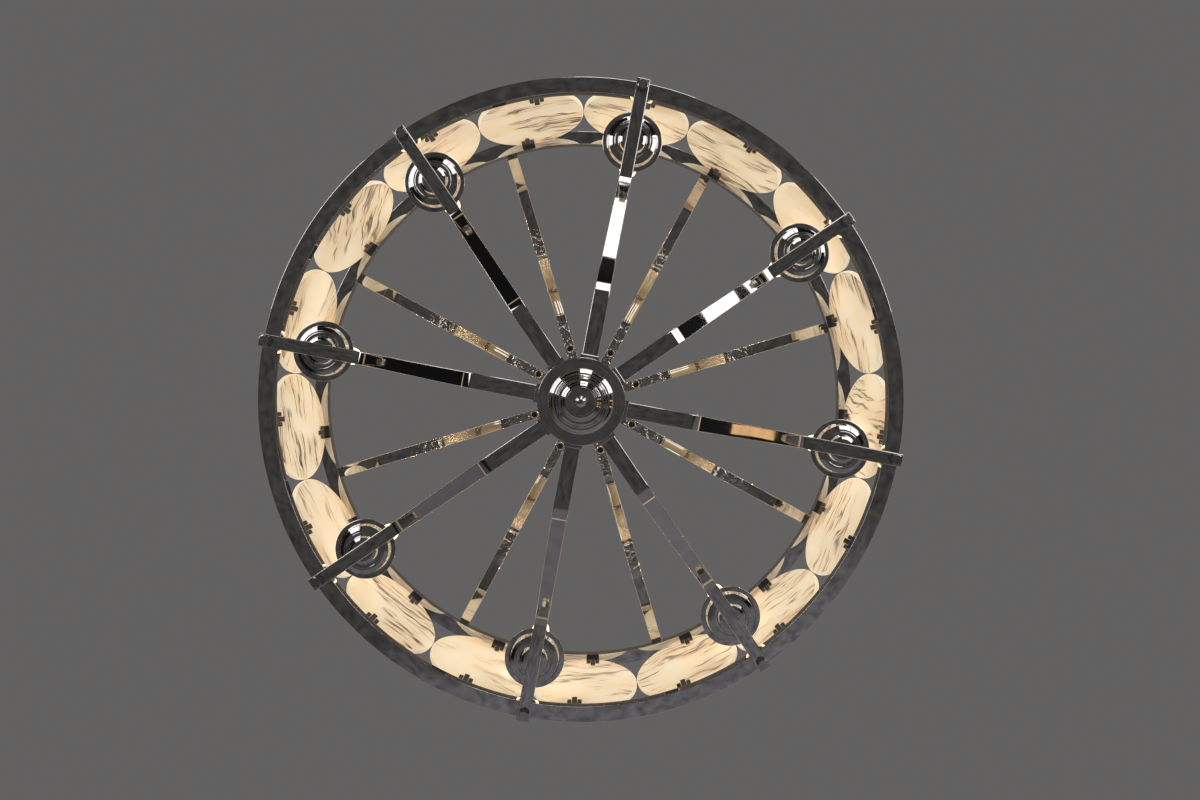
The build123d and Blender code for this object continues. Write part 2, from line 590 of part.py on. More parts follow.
def bulb_side(inset):
    """The side view of the bulb's glass, or of its inside, from the neck to the tip."""
    bottom = BULB_FOOT + SEAT
    middle = BULB_FOOT + BULB_WIDEST
    top = BULB_FOOT + BULB_LENGTH - inset
    neck = (BULB_NECK - inset, 0, bottom)
    widest = (BULB_RADIUS - inset, 0, middle)
    nib = (BULB_NIB - inset / 2, 0, top - BULB_WALL)
    belly = ThreePointArc(neck, (BULB_BELLY - inset, 0, (bottom + middle) / 2), widest)
    taper = ThreePointArc(widest, (BULB_TAPER - inset, 0, (middle + top) / 2), nib)
    return belly, taper, Line(nib, (0, 0, top))


# Bulbs: clear flame-shaped glass.
outside = bulb_side(0)
inside = bulb_side(BULB_WALL)
closing = [Line(outside[0] @ 0, inside[0] @ 0), Line(outside[2] @ 1, inside[2] @ 1)]
bulb = revolve(make_face(Curve() + [*outside, *inside, *closing]), Axis.Z)
nodes["bulbs"] = grouped(around(at_candle * bulb, ARM_COUNT))


def cable(points, bends, radius):
    """A round cable along straight runs joined by arcs."""
    route = FilletPolyline(*points, radius=bends)
    start = Plane(origin=route @ 0, z_dir=route % 0)
    return sweep(start * Circle(radius), path=route)


# Lamp leads: one in every lower arm, from the terminal ring up into the lampholder.
lead_line = beside(lower_line, LOWER_ARM_THICKNESS / 2)
lead_points = [
    (TERMINAL_OUTER + SEAT, 0, LOWER_ARM_MIDDLE),
    (lead_line[1][0], 0, lead_line[1][1]),
    (lead_line[2][0], 0, lead_line[2][1]),
    (CANDLE_CIRCLE, 0, lead_line[3][1]),
    (CANDLE_CIRCLE, 0, RING_BOTTOM + NIPPLE_TOP - SEAT),
]
lead_bend = ARM_BEND + LOWER_ARM_THICKNESS / 2
lead = cable(lead_points, [lead_bend, lead_bend, LEAD_BEND], LEAD_RADIUS)
nodes["lamp_leads"] = grouped(around(lead, ARM_COUNT))

# Terminal ring under the drum's lid, and the connector block on the hanger's foot.
terminal_top = DRUM_CEILING - SEAT
terminal_ring = spun([
    (TERMINAL_INNER, terminal_top - TERMINAL_HEIGHT),
    (TERMINAL_OUTER, terminal_top - TERMINAL_HEIGHT),
    (TERMINAL_OUTER, terminal_top),
    (TERMINAL_INNER, terminal_top),
])
connector_start = BLOCK_SIZE / 2 + CONNECTOR_SPACE
connector_end = connector_start + CONNECTOR_LENGTH
connector_bottom = FOOT_TOP + SEAT
connector = block(
    (connector_start, -CONNECTOR_WIDTH / 2, connector_bottom),
    (connector_end, CONNECTOR_WIDTH / 2, connector_bottom + CONNECTOR_HEIGHT),
)
nodes["terminals"] = grouped([terminal_ring, connector])

# Supply cable: from the terminal ring through the column and the stem to the connector block.
shift_top = COLUMN_TOP - SUPPLY_EASE / 2
cable_level = (FOOT_TOP + BLOCK_BOTTOM) / 2
supply_points = [
    (TERMINAL_INNER - SEAT, 0, LOWER_ARM_MIDDLE),
    (SUPPLY_OFFSET, 0, LOWER_ARM_MIDDLE),
    (SUPPLY_OFFSET, 0, shift_top - SUPPLY_EASE),
    (0, 0, shift_top),
    (0, 0, cable_level),
    (connector_start - SEAT, 0, cable_level),
]
supply_bends = [SUPPLY_BEND, SUPPLY_EASE, SUPPLY_EASE, SUPPLY_BEND]
nodes["supply_cable"] = cable(supply_points, supply_bends, SUPPLY_RADIUS)

# Ceiling bar: a steel strap with two slots for the ceiling bolts, tapped below for the hanger.
half_bar = BAR_LENGTH / 2
bar = block((-half_bar, -BAR_WIDTH / 2, -BAR_THICKNESS), (half_bar, BAR_WIDTH / 2, 0))
bar = fillet(bar.edges().filter_by(Axis.Z), BAR_WIDTH / 4)
slot = SlotOverall(SLOT_LENGTH, 2 * SLOT_RADIUS)
for side in (-1, 1):
    bar -= extrude(Pos(side * SLOT_SPACING / 2, 0, -BAR_THICKNESS) * slot, BAR_THICKNESS)
bar -= upright(BOLT_RADIUS, -BAR_THICKNESS, SEAT - SHANK_COVER)
nodes["ceiling_bar"] = bar


def fork(pin_level, root_level, back_level):
    """Two ears for a pin along X, joined by a base between its root and its back."""
    inside = BLOCK_SIZE / 2 + EAR_GAP
    outside = inside + EAR_THICKNESS
    ear = block(
        (inside, -EAR_RADIUS, min(pin_level, root_level)),
        (outside, EAR_RADIUS, max(pin_level, root_level)),
    )
    ear += level_bar(EAR_RADIUS, EAR_THICKNESS, (inside + outside) / 2, pin_level)
    base = block(
        (-outside, -EAR_RADIUS, min(root_level, back_level)),
        (outside, EAR_RADIUS, max(root_level, back_level)),
    )
    pin_bore = level_bar(PIN_RADIUS + RUNNING, 2 * outside, 0, pin_level)
    return base + ear + mirror(ear, Plane.YZ) - pin_bore


# Hanger fork: hangs from the ceiling bar, with its pin along X.
hanger = fork(UPPER_PIN, -BAR_THICKNESS - BRIDGE, -BAR_THICKNESS)
hanger += upright(BOLT_RADIUS - THREAD, -BAR_THICKNESS, -SHANK_COVER)
nodes["hanger_fork"] = hanger
pin_length = BLOCK_SIZE + 2 * (EAR_GAP + EAR_THICKNESS + PIN_OVERHANG)
nodes["upper_pin"] = level_bar(PIN_RADIUS, pin_length, 0, UPPER_PIN)

# Swivel block: turns on the upper pin and carries the lower one, a right angle apart.
swivel = block(
    (-BLOCK_SIZE / 2, -BLOCK_SIZE / 2, BLOCK_BOTTOM),
    (BLOCK_SIZE / 2, BLOCK_SIZE / 2, UPPER_PIN + EAR_RADIUS),
)
swivel -= level_bar(PIN_RADIUS + RUNNING, BLOCK_SIZE, 0, UPPER_PIN)
swivel -= Rot(0, 0, 90) * level_bar(PIN_RADIUS + RUNNING, BLOCK_SIZE, 0, LOWER_PIN)
nodes["swivel_block"] = swivel

# Stem fork: its ears hang on the lower pin, its foot holds the connector and takes the stem.
stem_fork = Rot(0, 0, 90) * fork(LOWER_PIN, FOOT_TOP, FOOT_BOTTOM)
stem_fork += block(
    (0, -BLOCK_SIZE / 2, FOOT_BOTTOM),
    (connector_end + FOOT_LIP, BLOCK_SIZE / 2, FOOT_TOP),
)
stem_fork += upright(STEM_RADIUS + SOCKET_WALL, SOCKET_BOTTOM, FOOT_BOTTOM)
stem_fork -= upright(STEM_RADIUS + SEAT, SOCKET_BOTTOM, FOOT_BOTTOM)
stem_fork -= upright(SUPPLY_RADIUS + SUPPLY_PLAY, FOOT_BOTTOM, FOOT_TOP)
nodes["stem_fork"] = stem_fork
nodes["lower_pin"] = Rot(0, 0, 90) * level_bar(PIN_RADIUS, pin_length, 0, LOWER_PIN)


def canopy_bell(inset):
    """The canopy's outside, or its inside, as a solid: a rounded bell under a straight band."""
    bottom = CANOPY_BOTTOM + inset
    band_bottom = -CANOPY_GAP - CANOPY_BAND + inset
    wall = CANOPY_RADIUS - CANOPY_BAND_STEP - inset
    rounding = CANOPY_ROUND - inset
    curve = RadiusArc((wall, bottom + rounding), (wall - rounding, bottom), rounding)
    outline = Polyline(
        curve @ 0,
        (wall, band_bottom),
        (CANOPY_RADIUS - inset, band_bottom),
        (CANOPY_RADIUS - inset, -CANOPY_GAP),
        (0, -CANOPY_GAP),
        (0, bottom),
        curve @ 1,
    )
    return revolve(Plane.XZ * make_face(Curve() + [curve, outline]), Axis.Z)


# Canopy: a spun bell that covers the joint and slides down the stem.
canopy = canopy_bell(0) - canopy_bell(CANOPY_WALL)
canopy -= upright(STEM_RADIUS + SEAT, CANOPY_BOTTOM, CANOPY_BOTTOM + CANOPY_WALL)
nodes["canopy"] = canopy

# Collar: clamps the stem under the canopy and holds it up.
collar_bottom = CANOPY_BOTTOM - COLLAR_HEIGHT
nodes["canopy_collar"] = spun([
    (STEM_RADIUS + SEAT / 2, collar_bottom),
    (COLLAR_RADIUS - COLLAR_CHAMFER, collar_bottom),
    (COLLAR_RADIUS, collar_bottom + COLLAR_CHAMFER),
    (COLLAR_RADIUS, CANOPY_BOTTOM),
    (STEM_RADIUS + SEAT / 2, CANOPY_BOTTOM),
])

os.makedirs("parts", exist_ok=True)
for name, shape in nodes.items():
    shape.label = name
    export_step(shape, f"parts/{name}.step")

print("nodes", len(nodes))
print("ring radius", round(RING_RADIUS, 2))
print("canopy travel", round(collar_bottom - HUB_BOSS_TOP, 1))
print("lowest point", round(ball_centre - FINIAL_RADIUS, 1))
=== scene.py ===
from math import atan2, cos, hypot, pi, radians, sin, sqrt, tan

import bmesh
import bpy
from mathutils import Matrix, Vector


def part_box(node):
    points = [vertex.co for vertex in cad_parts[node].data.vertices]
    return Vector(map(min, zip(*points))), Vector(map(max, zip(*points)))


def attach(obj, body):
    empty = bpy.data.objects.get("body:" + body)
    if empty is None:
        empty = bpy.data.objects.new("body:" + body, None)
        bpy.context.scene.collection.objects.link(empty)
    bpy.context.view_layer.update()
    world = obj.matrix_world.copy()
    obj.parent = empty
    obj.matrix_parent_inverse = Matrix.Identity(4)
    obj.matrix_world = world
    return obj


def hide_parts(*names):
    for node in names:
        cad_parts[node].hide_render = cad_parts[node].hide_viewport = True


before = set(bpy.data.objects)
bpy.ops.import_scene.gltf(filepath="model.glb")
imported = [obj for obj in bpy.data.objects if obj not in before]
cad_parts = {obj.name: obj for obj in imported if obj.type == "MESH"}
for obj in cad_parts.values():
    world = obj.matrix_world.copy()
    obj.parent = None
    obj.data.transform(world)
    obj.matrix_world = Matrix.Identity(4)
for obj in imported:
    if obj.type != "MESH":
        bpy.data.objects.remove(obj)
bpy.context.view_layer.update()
scene = bpy.context.scene
scene.view_settings.view_transform = "Standard"

# The camera stands under the lamp, 16 mm off its axis, and looks almost straight up.
TURN_ABOUT_AXIS = radians(-10.73)
LEAN_SIDEWAYS = 0.01395
LEAN_UPWARDS = 0.00594
CAMERA_PLACE = (0.0126, -0.0095, -1.9475)
lens = bpy.data.cameras.new("camera")
lens.sensor_width = 36.0
lens.lens = 18.308
camera = bpy.data.objects.new("camera", lens)
scene.collection.objects.link(camera)
scene.camera = camera
upright_view = Matrix((
    (cos(TURN_ABOUT_AXIS), sin(TURN_ABOUT_AXIS), 0, 0),
    (sin(TURN_ABOUT_AXIS), -cos(TURN_ABOUT_AXIS), 0, 0),
    (0, 0, -1, 0),
    (0, 0, 0, 1),
))
lean = Matrix.Rotation(LEAN_UPWARDS, 4, "X") @ Matrix.Rotation(LEAN_SIDEWAYS, 4, "Y")
camera.matrix_world = Matrix.Translation(CAMERA_PLACE) @ (lean @ upright_view).inverted()


class Signal:
    """A value in a node tree that Python can calculate with."""

    def __init__(self, recipe, made, output):
        self.recipe, self.made, self.output = recipe, made, output

    @property
    def socket(self):
        return self.made.outputs[self.output]

    def also(self, output):
        """Another output of the same node."""
        return Signal(self.recipe, self.made, output)

    def sum(self, operation, *values):
        return self.recipe.node("ShaderNodeMath", {"operation": operation}, dict(enumerate(values)))

    def __add__(self, other):
        return self.sum("ADD", self, other)

    def __sub__(self, other):
        return self.sum("SUBTRACT", self, other)

    def __rsub__(self, other):
        return self.sum("SUBTRACT", other, self)

    def __mul__(self, other):
        return self.sum("MULTIPLY", self, other)

    def __abs__(self):
        return self.sum("ABSOLUTE", self)

    def within(self, low, high):
        """0 below low, 1 above high, and straight between them."""
        sockets = {"Value": self, "From Min": low, "From Max": high}
        return self.recipe.node("ShaderNodeMapRange", {"clamp": True}, sockets)


class Recipe:
    """The nodes of one finish, or of the studio around the lamp."""

    def __init__(self, owner):
        owner.use_nodes = True
        self.owner, self.tree = owner, owner.node_tree
        self.tree.nodes.clear()

    def node(self, kind, settings=None, sockets=None, output=0):
        made = self.tree.nodes.new(kind)
        for name, value in (settings or {}).items():
            setattr(made, name, value)
        for name, value in (sockets or {}).items():
            if isinstance(value, Signal):
                self.tree.links.new(value.socket, made.inputs[name])
            else:
                made.inputs[name].default_value = value
        return Signal(self, made, output)

    def mix(self, factor, first, second):
        sockets = {0: factor, 6: first, 7: second}
        return self.node("ShaderNodeMix", {"data_type": "RGBA"}, sockets, 2)


# The studio: a pale floor, a grey ceiling tone overhead and a paler wall. Three tall soft windows stand
# on one side. Plate sees a violet-grey wall on the other side, darkness between the windows and a warm
# glow low down.
CEILING_TONE = (0.124, 0.121, 0.120, 1)
WALL_TONE = (0.46, 0.46, 0.45, 1)
SHADOW_TONE = (0.010, 0.010, 0.011, 1)
VIOLET_TONE = (0.165, 0.160, 0.176, 1)
UPPER_TONE = (0.34, 0.34, 0.35, 1)
LIT_CEILING = (0.135, 0.118, 0.098, 1)
WARM_TONE = (0.74, 0.56, 0.33, 1)
FLOOR_PAINT = (0.55, 0.55, 0.54, 1)
NEAR_FLOOR_TONE = (0.066, 0.066, 0.065, 1)
FLOOR_LEVEL = -2.75
FLOOR_RADIUS = 12.0
WALL_WAY = (0.434, 0.901)
ROOM_LIGHT = 0.55
# Each window's azimuth in degrees and its width, and how the floor that it lights fades in and out.
WINDOWS = ((-159.2, 1.66), (-91.7, 1.17), (-40.7, 1.50))
LIT_FROM = (1.80, 1.95)
LIT_TO = (2.95, 3.05)
LIT_EDGE = 0.05
LIT_GAIN = 1.4
world = bpy.data.worlds.new("studio")
scene.world = world
studio = Recipe(world)
direction = studio.node("ShaderNodeTexCoord", output="Generated")
axes = studio.node("ShaderNodeSeparateXYZ", sockets={0: direction})
height = axes.also("Z")
seen = studio.mix(height.within(0.30, 0.55), WALL_TONE, CEILING_TONE)
far_wall = studio.mix(axes.also("Y").within(0.34, 0.62), SHADOW_TONE, VIOLET_TONE)
upper_shine = studio.mix(height.within(0.55, 0.75), UPPER_TONE, LIT_CEILING)
shine = studio.mix(height.within(0.28, 0.40), far_wall, upper_shine)
low_glow = height.within(-0.20, -0.17) * (1 - height.within(-0.04, -0.02))
shine = studio.mix(low_glow, shine, WARM_TONE)
glow_strength = axes * 0.25 + 1
rays = studio.node("ShaderNodeLightPath")
glossy = rays.also("Is Glossy Ray")
diffuse = rays.also("Is Diffuse Ray")
seen_light = studio.node("ShaderNodeBackground", sockets={0: seen, 1: 1.0})
shine_light = studio.node("ShaderNodeBackground", sockets={0: shine, 1: glow_strength})
room_light = studio.node("ShaderNodeBackground", sockets={0: (1, 1, 1, 1), 1: ROOM_LIGHT})
chosen = studio.node("ShaderNodeMixShader", sockets={0: glossy, 1: seen_light, 2: shine_light})
chosen = studio.node("ShaderNodeMixShader", sockets={0: diffuse, 1: chosen, 2: room_light})
studio.node("ShaderNodeOutputWorld", sockets={0: chosen})

floor_shape = bmesh.new()
bmesh.ops.create_circle(floor_shape, cap_ends=True, segments=96, radius=FLOOR_RADIUS)
bmesh.ops.translate(floor_shape, verts=floor_shape.verts[:], vec=(0, 0, FLOOR_LEVEL))
floor_mesh = bpy.data.meshes.new("floor")
floor_shape.to_mesh(floor_mesh)
floor_shape.free()
floor = bpy.data.objects.new("floor", floor_mesh)
scene.collection.objects.link(floor)
boards = Recipe(bpy.data.materials.new("floor_paint"))
floor_rays = boards.node("ShaderNodeLightPath")
paint = boards.node("ShaderNodeBsdfDiffuse", sockets={0: FLOOR_PAINT})
whole_spot = boards.node("ShaderNodeTexCoord", output="Object")
spot = boards.node("ShaderNodeMapping", sockets={"Vector": whole_spot, "Scale": (1.0, 1.0, 0.0)})
spot_axes = boards.node("ShaderNodeSeparateXYZ", sockets={0: spot})
spot_reach = boards.node("ShaderNodeVectorMath", {"operation": "LENGTH"}, {0: spot}, "Value")
toward_wall = spot_axes * WALL_WAY[0] + spot_axes.also("Y") * WALL_WAY[1]
facing_wall = toward_wall.sum("DIVIDE", toward_wall, spot_reach)
violet = toward_wall.within(0.85, 1.25) * facing_wall.within(0.2, 0.5)
mottle = boards.node("ShaderNodeTexNoise", sockets={"Vector": spot, "Scale": 20.0, "Detail": 6.0})
# Glossy reflections see the floor as painted light and shade: dark near the lamp, a painted shadow further
# out,
# The camera and diffuse light see the plain pale paint.
# a violet patch towards the wall and painted pools of window light, with a mottled strength.
floor_tone = boards.mix(spot_reach.within(1.55, 2.1), NEAR_FLOOR_TONE, SHADOW_TONE)
floor_tone = boards.mix(violet, floor_tone, VIOLET_TONE)
floor_glow = mottle.within(0.25, 0.75) * 1.1 + 0.45
for azimuth, width in WINDOWS:
    out_to = spot_axes * cos(radians(azimuth)) + spot_axes.also("Y") * sin(radians(azimuth))
    aside = abs(spot_axes * sin(radians(azimuth)) - spot_axes.also("Y") * cos(radians(azimuth)))
    lit = out_to.within(*LIT_FROM) * (1 - out_to.within(*LIT_TO))
    lit = lit * (1 - aside.within(width / 2 - LIT_EDGE, width / 2 + LIT_EDGE))
    floor_tone = boards.mix(lit, floor_tone, (1, 1, 1, 1))
    floor_glow = floor_glow + lit * LIT_GAIN
dim = boards.node("ShaderNodeEmission", sockets={0: floor_tone, 1: floor_glow})
both = boards.node("ShaderNodeMixShader", sockets={0: floor_rays.also("Is Glossy Ray"), 1: paint, 2: dim})
boards.node("ShaderNodeOutputMaterial", sockets={0: both})
floor_mesh.materials.append(boards.owner)


def soft_light(name, azimuth, distance, level, width, tall, brightness, colour=(1, 1, 1)):
    """A soft panel that stands at an azimuth and faces the lamp."""
    panel = bpy.data.lights.new(name, "AREA")
    panel.shape = "RECTANGLE"
    panel.size, panel.size_y = width, tall
    panel.energy = brightness * pi * width * tall
    panel.color = colour
    place = bpy.data.objects.new(name, panel)
    place.location = (distance * cos(radians(azimuth)), distance * sin(radians(azimuth)), level)
    place.rotation_euler = (pi / 2, 0, radians(azimuth) + pi / 2)
    place.visible_camera = False
    scene.collection.objects.link(place)


# Each window has a low pane that starts just above the floor, and a shallow pane higher up. Plate sees the
# lit floor before it. The right one's high pane has a transom, and warm lamps stand beside that window.
WINDOW_DISTANCE = 3.0
WINDOW_GLOW = 2.4
LOW_PANE = (-2.70, -1.42)
HIGH_PANES = (((-0.83, -0.48),), ((-0.83, -0.48),), ((-0.83, -0.628), (-0.544, -0.48)))
WARM_LAMPS = ((-18, -0.62), (-12, -0.70), (-6, -0.64), (0, -0.68), (6, -0.60))
LAMP_SIZE = (0.15, 0.22)
LAMP_GLOW = 1.1
LAMP_COLOUR = (1.0, 0.60, 0.28)
for (azimuth, width), high_panes in zip(WINDOWS, HIGH_PANES):
    for foot, head in (LOW_PANE, *high_panes):
        soft_light("pane", azimuth, WINDOW_DISTANCE, (foot + head) / 2, width, head - foot, WINDOW_GLOW)
for azimuth, level in WARM_LAMPS:
    soft_light("warm_lamp", azimuth, WINDOW_DISTANCE, level, *LAMP_SIZE, LAMP_GLOW, LAMP_COLOUR)


# Rings: two square-edged bars rolled to hoops, polished and plated, with slightly broken edges.
# The discs stand between them, and the arms are bolted to them.
def turned(section, steps=256):
    """A shape lathed about the lamp's axis from a closed section of (radius, height, rounding)."""
    shape = bmesh.new()
    corners = [shape.verts.new((point[0], 0, point[1])) for point in section]
    shape.faces.new(corners)
    for amount in sorted({point[2] for point in section if len(point) > 2}):
        chosen = [v for v, point in zip(corners, section) if len(point) > 2 and point[2] == amount]
        bmesh.ops.bevel(
            shape, geom=chosen, offset=amount, offset_type="OFFSET", affect="VERTICES",
            segments=4, profile=0.5, material=-1,
        )
    bmesh.ops.delete(shape, geom=shape.faces[:], context="FACES_ONLY")
    on_axis = [e for e in shape.edges if max(abs(v.co.x) for v in e.verts) < 1e-7]
    bmesh.ops.delete(shape, geom=on_axis, context="EDGES")
    bmesh.ops.spin(
        shape, geom=shape.verts[:] + shape.edges[:], cent=(0, 0, 0), axis=(0, 0, 1),
        angle=2 * pi, steps=steps, use_merge=True,
    )
    bmesh.ops.remove_doubles(shape, verts=shape.verts[:], dist=1e-6)
    bmesh.ops.recalc_face_normals(shape, faces=shape.faces[:])
    return shape


def moved(shape, matrix):
    """The same shape, turned or shifted."""
    bmesh.ops.transform(shape, matrix=matrix, verts=shape.verts[:])
    return shape


def finished(shape, name, body, slot, finish, *nodes, crease=32):
    """Makes a shape a piece of the lamp that rides on a body and stands for CAD nodes."""
    mesh = bpy.data.meshes.new(name)
    shape.to_mesh(mesh)
    shape.free()
    mesh.materials.append(finish)
    mesh.shade_smooth()
    mesh.set_sharp_from_angle(angle=radians(crease))
    piece = bpy.data.objects.new(name, mesh)
    scene.collection.objects.link(piece)
    true_flats = piece.modifiers.new("true_flats", "WEIGHTED_NORMAL")
    true_flats.keep_sharp = True
    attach(piece, body)
    if nodes:
        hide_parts(*nodes)
    return piece


# The reaches from the lamp's axis between which dents fade out beyond the hub, come in at a bend and end.
DENTS_BY_HUB = (0.180, 0.200)
DENTS_BY_BEND = (0.308, 0.318)
DENTS_END = (0.34, 0.39)


def plated(name, tint, smooth, rough, ripple=0.0010, dents=0.0):
    """Polished plate: haze and wipe marks in its gloss, a slow ripple, and dents from bending it."""
    finish = Recipe(bpy.data.materials.new(name))
    place = finish.node("ShaderNodeTexCoord", output="Object")
    haze = finish.node("ShaderNodeTexNoise", sockets={"Vector": place, "Scale": 38.0, "Detail": 3.0})
    stretched = finish.node("ShaderNodeMapping", sockets={"Vector": place, "Scale": (1.0, 1.0, 9.0)})
    wipes = finish.node("ShaderNodeTexNoise", sockets={"Vector": stretched, "Scale": 240.0, "Detail": 2.0})
    waves = finish.node("ShaderNodeTexNoise", sockets={"Vector": place, "Scale": 9.0, "Detail": 1.0})
    warm = tuple(c * 0.84 for c in tint) + (1,)
    colour = finish.mix(haze.within(0.35, 0.7), tuple(tint) + (1,), warm)
    gloss = haze.within(0.3, 0.75) * (rough - smooth) + wipes.within(0.45, 0.8) * 0.012 + smooth
    relief = waves * ripple
    if dents:
        level_place = finish.node("ShaderNodeMapping", sockets={"Vector": place, "Scale": (1.0, 1.0, 0.0)})
        reach = finish.node("ShaderNodeVectorMath", {"operation": "LENGTH"}, {0: level_place}, "Value")
        near_hub = 1 - reach.within(*DENTS_BY_HUB)
        near_bend = reach.within(*DENTS_BY_BEND) * (1 - reach.within(*DENTS_END))
        worked = finish.node("ShaderNodeTexNoise", sockets={"Vector": place, "Scale": 60.0, "Detail": 3.0})
        relief = relief + worked * (near_hub + near_bend) * dents
    bump = finish.node("ShaderNodeBump", sockets={"Height": relief, "Strength": 1.0, "Distance": 1.0})
    surface = finish.node("ShaderNodeBsdfPrincipled", sockets={
        "Base Color": colour, "Metallic": 1.0, "Roughness": gloss, "Normal": bump,
    })
    finish.node("ShaderNodeOutputMaterial", sockets={0: surface})
    return finish.owner


polished_nickel = plated("polished_nickel", (0.64, 0.62, 0.60), 0.015, 0.045)
RING_WIDTH = 0.027
RING_EDGE = 0.0014
for ring in ("lower_ring", "upper_ring"):
    low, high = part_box(ring)
    outer = high.x
    inner = outer - RING_WIDTH
    hoop = turned([
        (inner, low.z, RING_EDGE), (outer, low.z, RING_EDGE),
        (outer, high.z, RING_EDGE), (inner, high.z, RING_EDGE),
    ], steps=288)
    finished(hoop, ring + "_hoop", "fixture", "polished_metal", polished_nickel, ring)

# Disc clips: cast saddles that sit on a ring and hold a disc between three tines on each face.
# The clips of the upper wheel are turned a little against those of the lower one.
DISC_COUNT = 17
DISC_TURN = radians(15.7)
DISC_RADIUS = 0.1
DISC_THICKNESS = 0.009
DISC_CENTRE = (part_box("lower_ring")[1].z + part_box("upper_ring")[0].z) / 2
RING_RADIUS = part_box("lower_ring")[1].x - RING_WIDTH / 2
CLIP_WIDTH = 0.026
CLIP_SHIFT = RING_RADIUS * radians(1.75)
SEAT = 0.0003
TINE = 0.0026
TINE_SEAT = DISC_THICKNESS / 2 + SEAT
SADDLE_HEIGHT = 0.001
CLIP_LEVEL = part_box("lower_ring")[1].z - DISC_CENTRE


def comb_plate():
    """Three tines on a common root, cut from plate: the middle one is longer and square."""
    side, middle = 0.0078, 0.0047
    root, short, tall = 0.0125, 0.027, 0.036
    half = CLIP_WIDTH / 2
    outline = [
        (-half, 0), (half, 0), (half, short), (half - side, short), (half - side, root),
        (middle, root), (middle, tall), (-middle, tall), (-middle, root),
        (side - half, root), (side - half, short), (-half, short),
    ]
    plate = bmesh.new()
    corners = [plate.verts.new((0, y, z)) for y, z in outline]
    face = plate.faces.new(corners)
    tips = [v for v in corners if abs(v.co.z - short) < 1e-6]
    bmesh.ops.bevel(
        plate, geom=tips, offset=side * 0.3, offset_type="OFFSET", affect="VERTICES",
        segments=5, profile=0.5, material=-1,
    )
    crown = [v for v in plate.verts if abs(v.co.z - tall) < 1e-6]
    bmesh.ops.bevel(
        plate, geom=crown, offset=0.0012, offset_type="OFFSET", affect="VERTICES",
        segments=3, profile=0.5, material=-1,
    )
    grown = bmesh.ops.extrude_face_region(plate, geom=plate.faces[:])
    front = [v for v in grown["geom"] if isinstance(v, bmesh.types.BMVert)]
    bmesh.ops.translate(plate, verts=front, vec=(TINE, 0, 0))
    bmesh.ops.recalc_face_normals(plate, faces=plate.faces[:])
    edges = [e for e in plate.edges if e.calc_face_angle(0) > radians(50) and
             abs(e.verts[0].co.x - e.verts[1].co.x) < 1e-6 and e.verts[0].co.x > TINE / 2]
    bmesh.ops.bevel(
        plate, geom=edges, offset=0.0010, offset_type="OFFSET", affect="EDGES",
        segments=2, profile=0.5, material=-1,
    )
    return plate


def joined(shapes):
    """Several shapes as one."""
    whole = bmesh.new()
    for shape in shapes:
        passing = bpy.data.meshes.new("passing")
        shape.to_mesh(passing)
        shape.free()
        whole.from_mesh(passing)
        bpy.data.meshes.remove(passing)
    return whole


def repeated(shape, count, start=0.0):
    """Copies of a shape, evenly spaced round the lamp's axis."""
    moved(shape, Matrix.Rotation(start, 4, "Z"))
    bmesh.ops.spin(
        shape, geom=shape.verts[:] + shape.edges[:] + shape.faces[:], cent=(0, 0, 0),
        axis=(0, 0, 1), angle=2 * pi * (count - 1) / count, steps=count - 1, use_duplicate=True,
    )
    return shape


def saddle():
    """The clip's floor between its plates, hollowed to take the disc's edge."""
    block = bmesh.new()
    bmesh.ops.create_cube(block, size=1)
    bmesh.ops.scale(block, verts=block.verts[:], vec=(2 * TINE_SEAT, CLIP_WIDTH, SADDLE_HEIGHT))
    middle = CLIP_LEVEL + SADDLE_HEIGHT / 2
    bmesh.ops.translate(block, verts=block.verts[:], vec=(0, CLIP_SHIFT, middle))
    for share in (-0.3, -0.1, 0.1, 0.3):
        bmesh.ops.bisect_plane(
            block, geom=block.verts[:] + block.edges[:] + block.faces[:],
            plane_co=(0, CLIP_SHIFT + share * CLIP_WIDTH, 0), plane_no=(0, 1, 0),
        )
    for v in block.verts:
        if v.co.z > middle:
            v.co.z = -sqrt((DISC_RADIUS + SEAT) ** 2 - v.co.y ** 2)
    return block


back_plate = comb_plate()
moved(back_plate, Matrix.Rotation(pi, 4, "Z"))
moved(back_plate, Matrix.Translation((-TINE_SEAT, CLIP_SHIFT, CLIP_LEVEL)))
front_plate = moved(comb_plate(), Matrix.Translation((TINE_SEAT, CLIP_SHIFT, CLIP_LEVEL)))
foot_clip = joined([front_plate, back_plate, saddle()])
head_clip = moved(foot_clip.copy(), Matrix.Rotation(pi, 4, "X"))
at_disc = Matrix.Translation((RING_RADIUS, 0, DISC_CENTRE))
pair = moved(joined([foot_clip, head_clip]), at_disc)
clips = repeated(pair, DISC_COUNT, DISC_TURN)
clip_nickel = plated("clip_nickel", (0.46, 0.43, 0.39), 0.09, 0.17)
finished(clips, "clips", "fixture", "clip_metal", clip_nickel, "disc_clips")

# Stone discs: slices of veined alabaster, ground round, with an eased edge and a waxed face.
# They let light through, and their glow is painted: the stone gives off a steady light in its own colours.
DISC_EDGE = 0.0016
VEINED_RADIUS = DISC_RADIUS - 0.0022


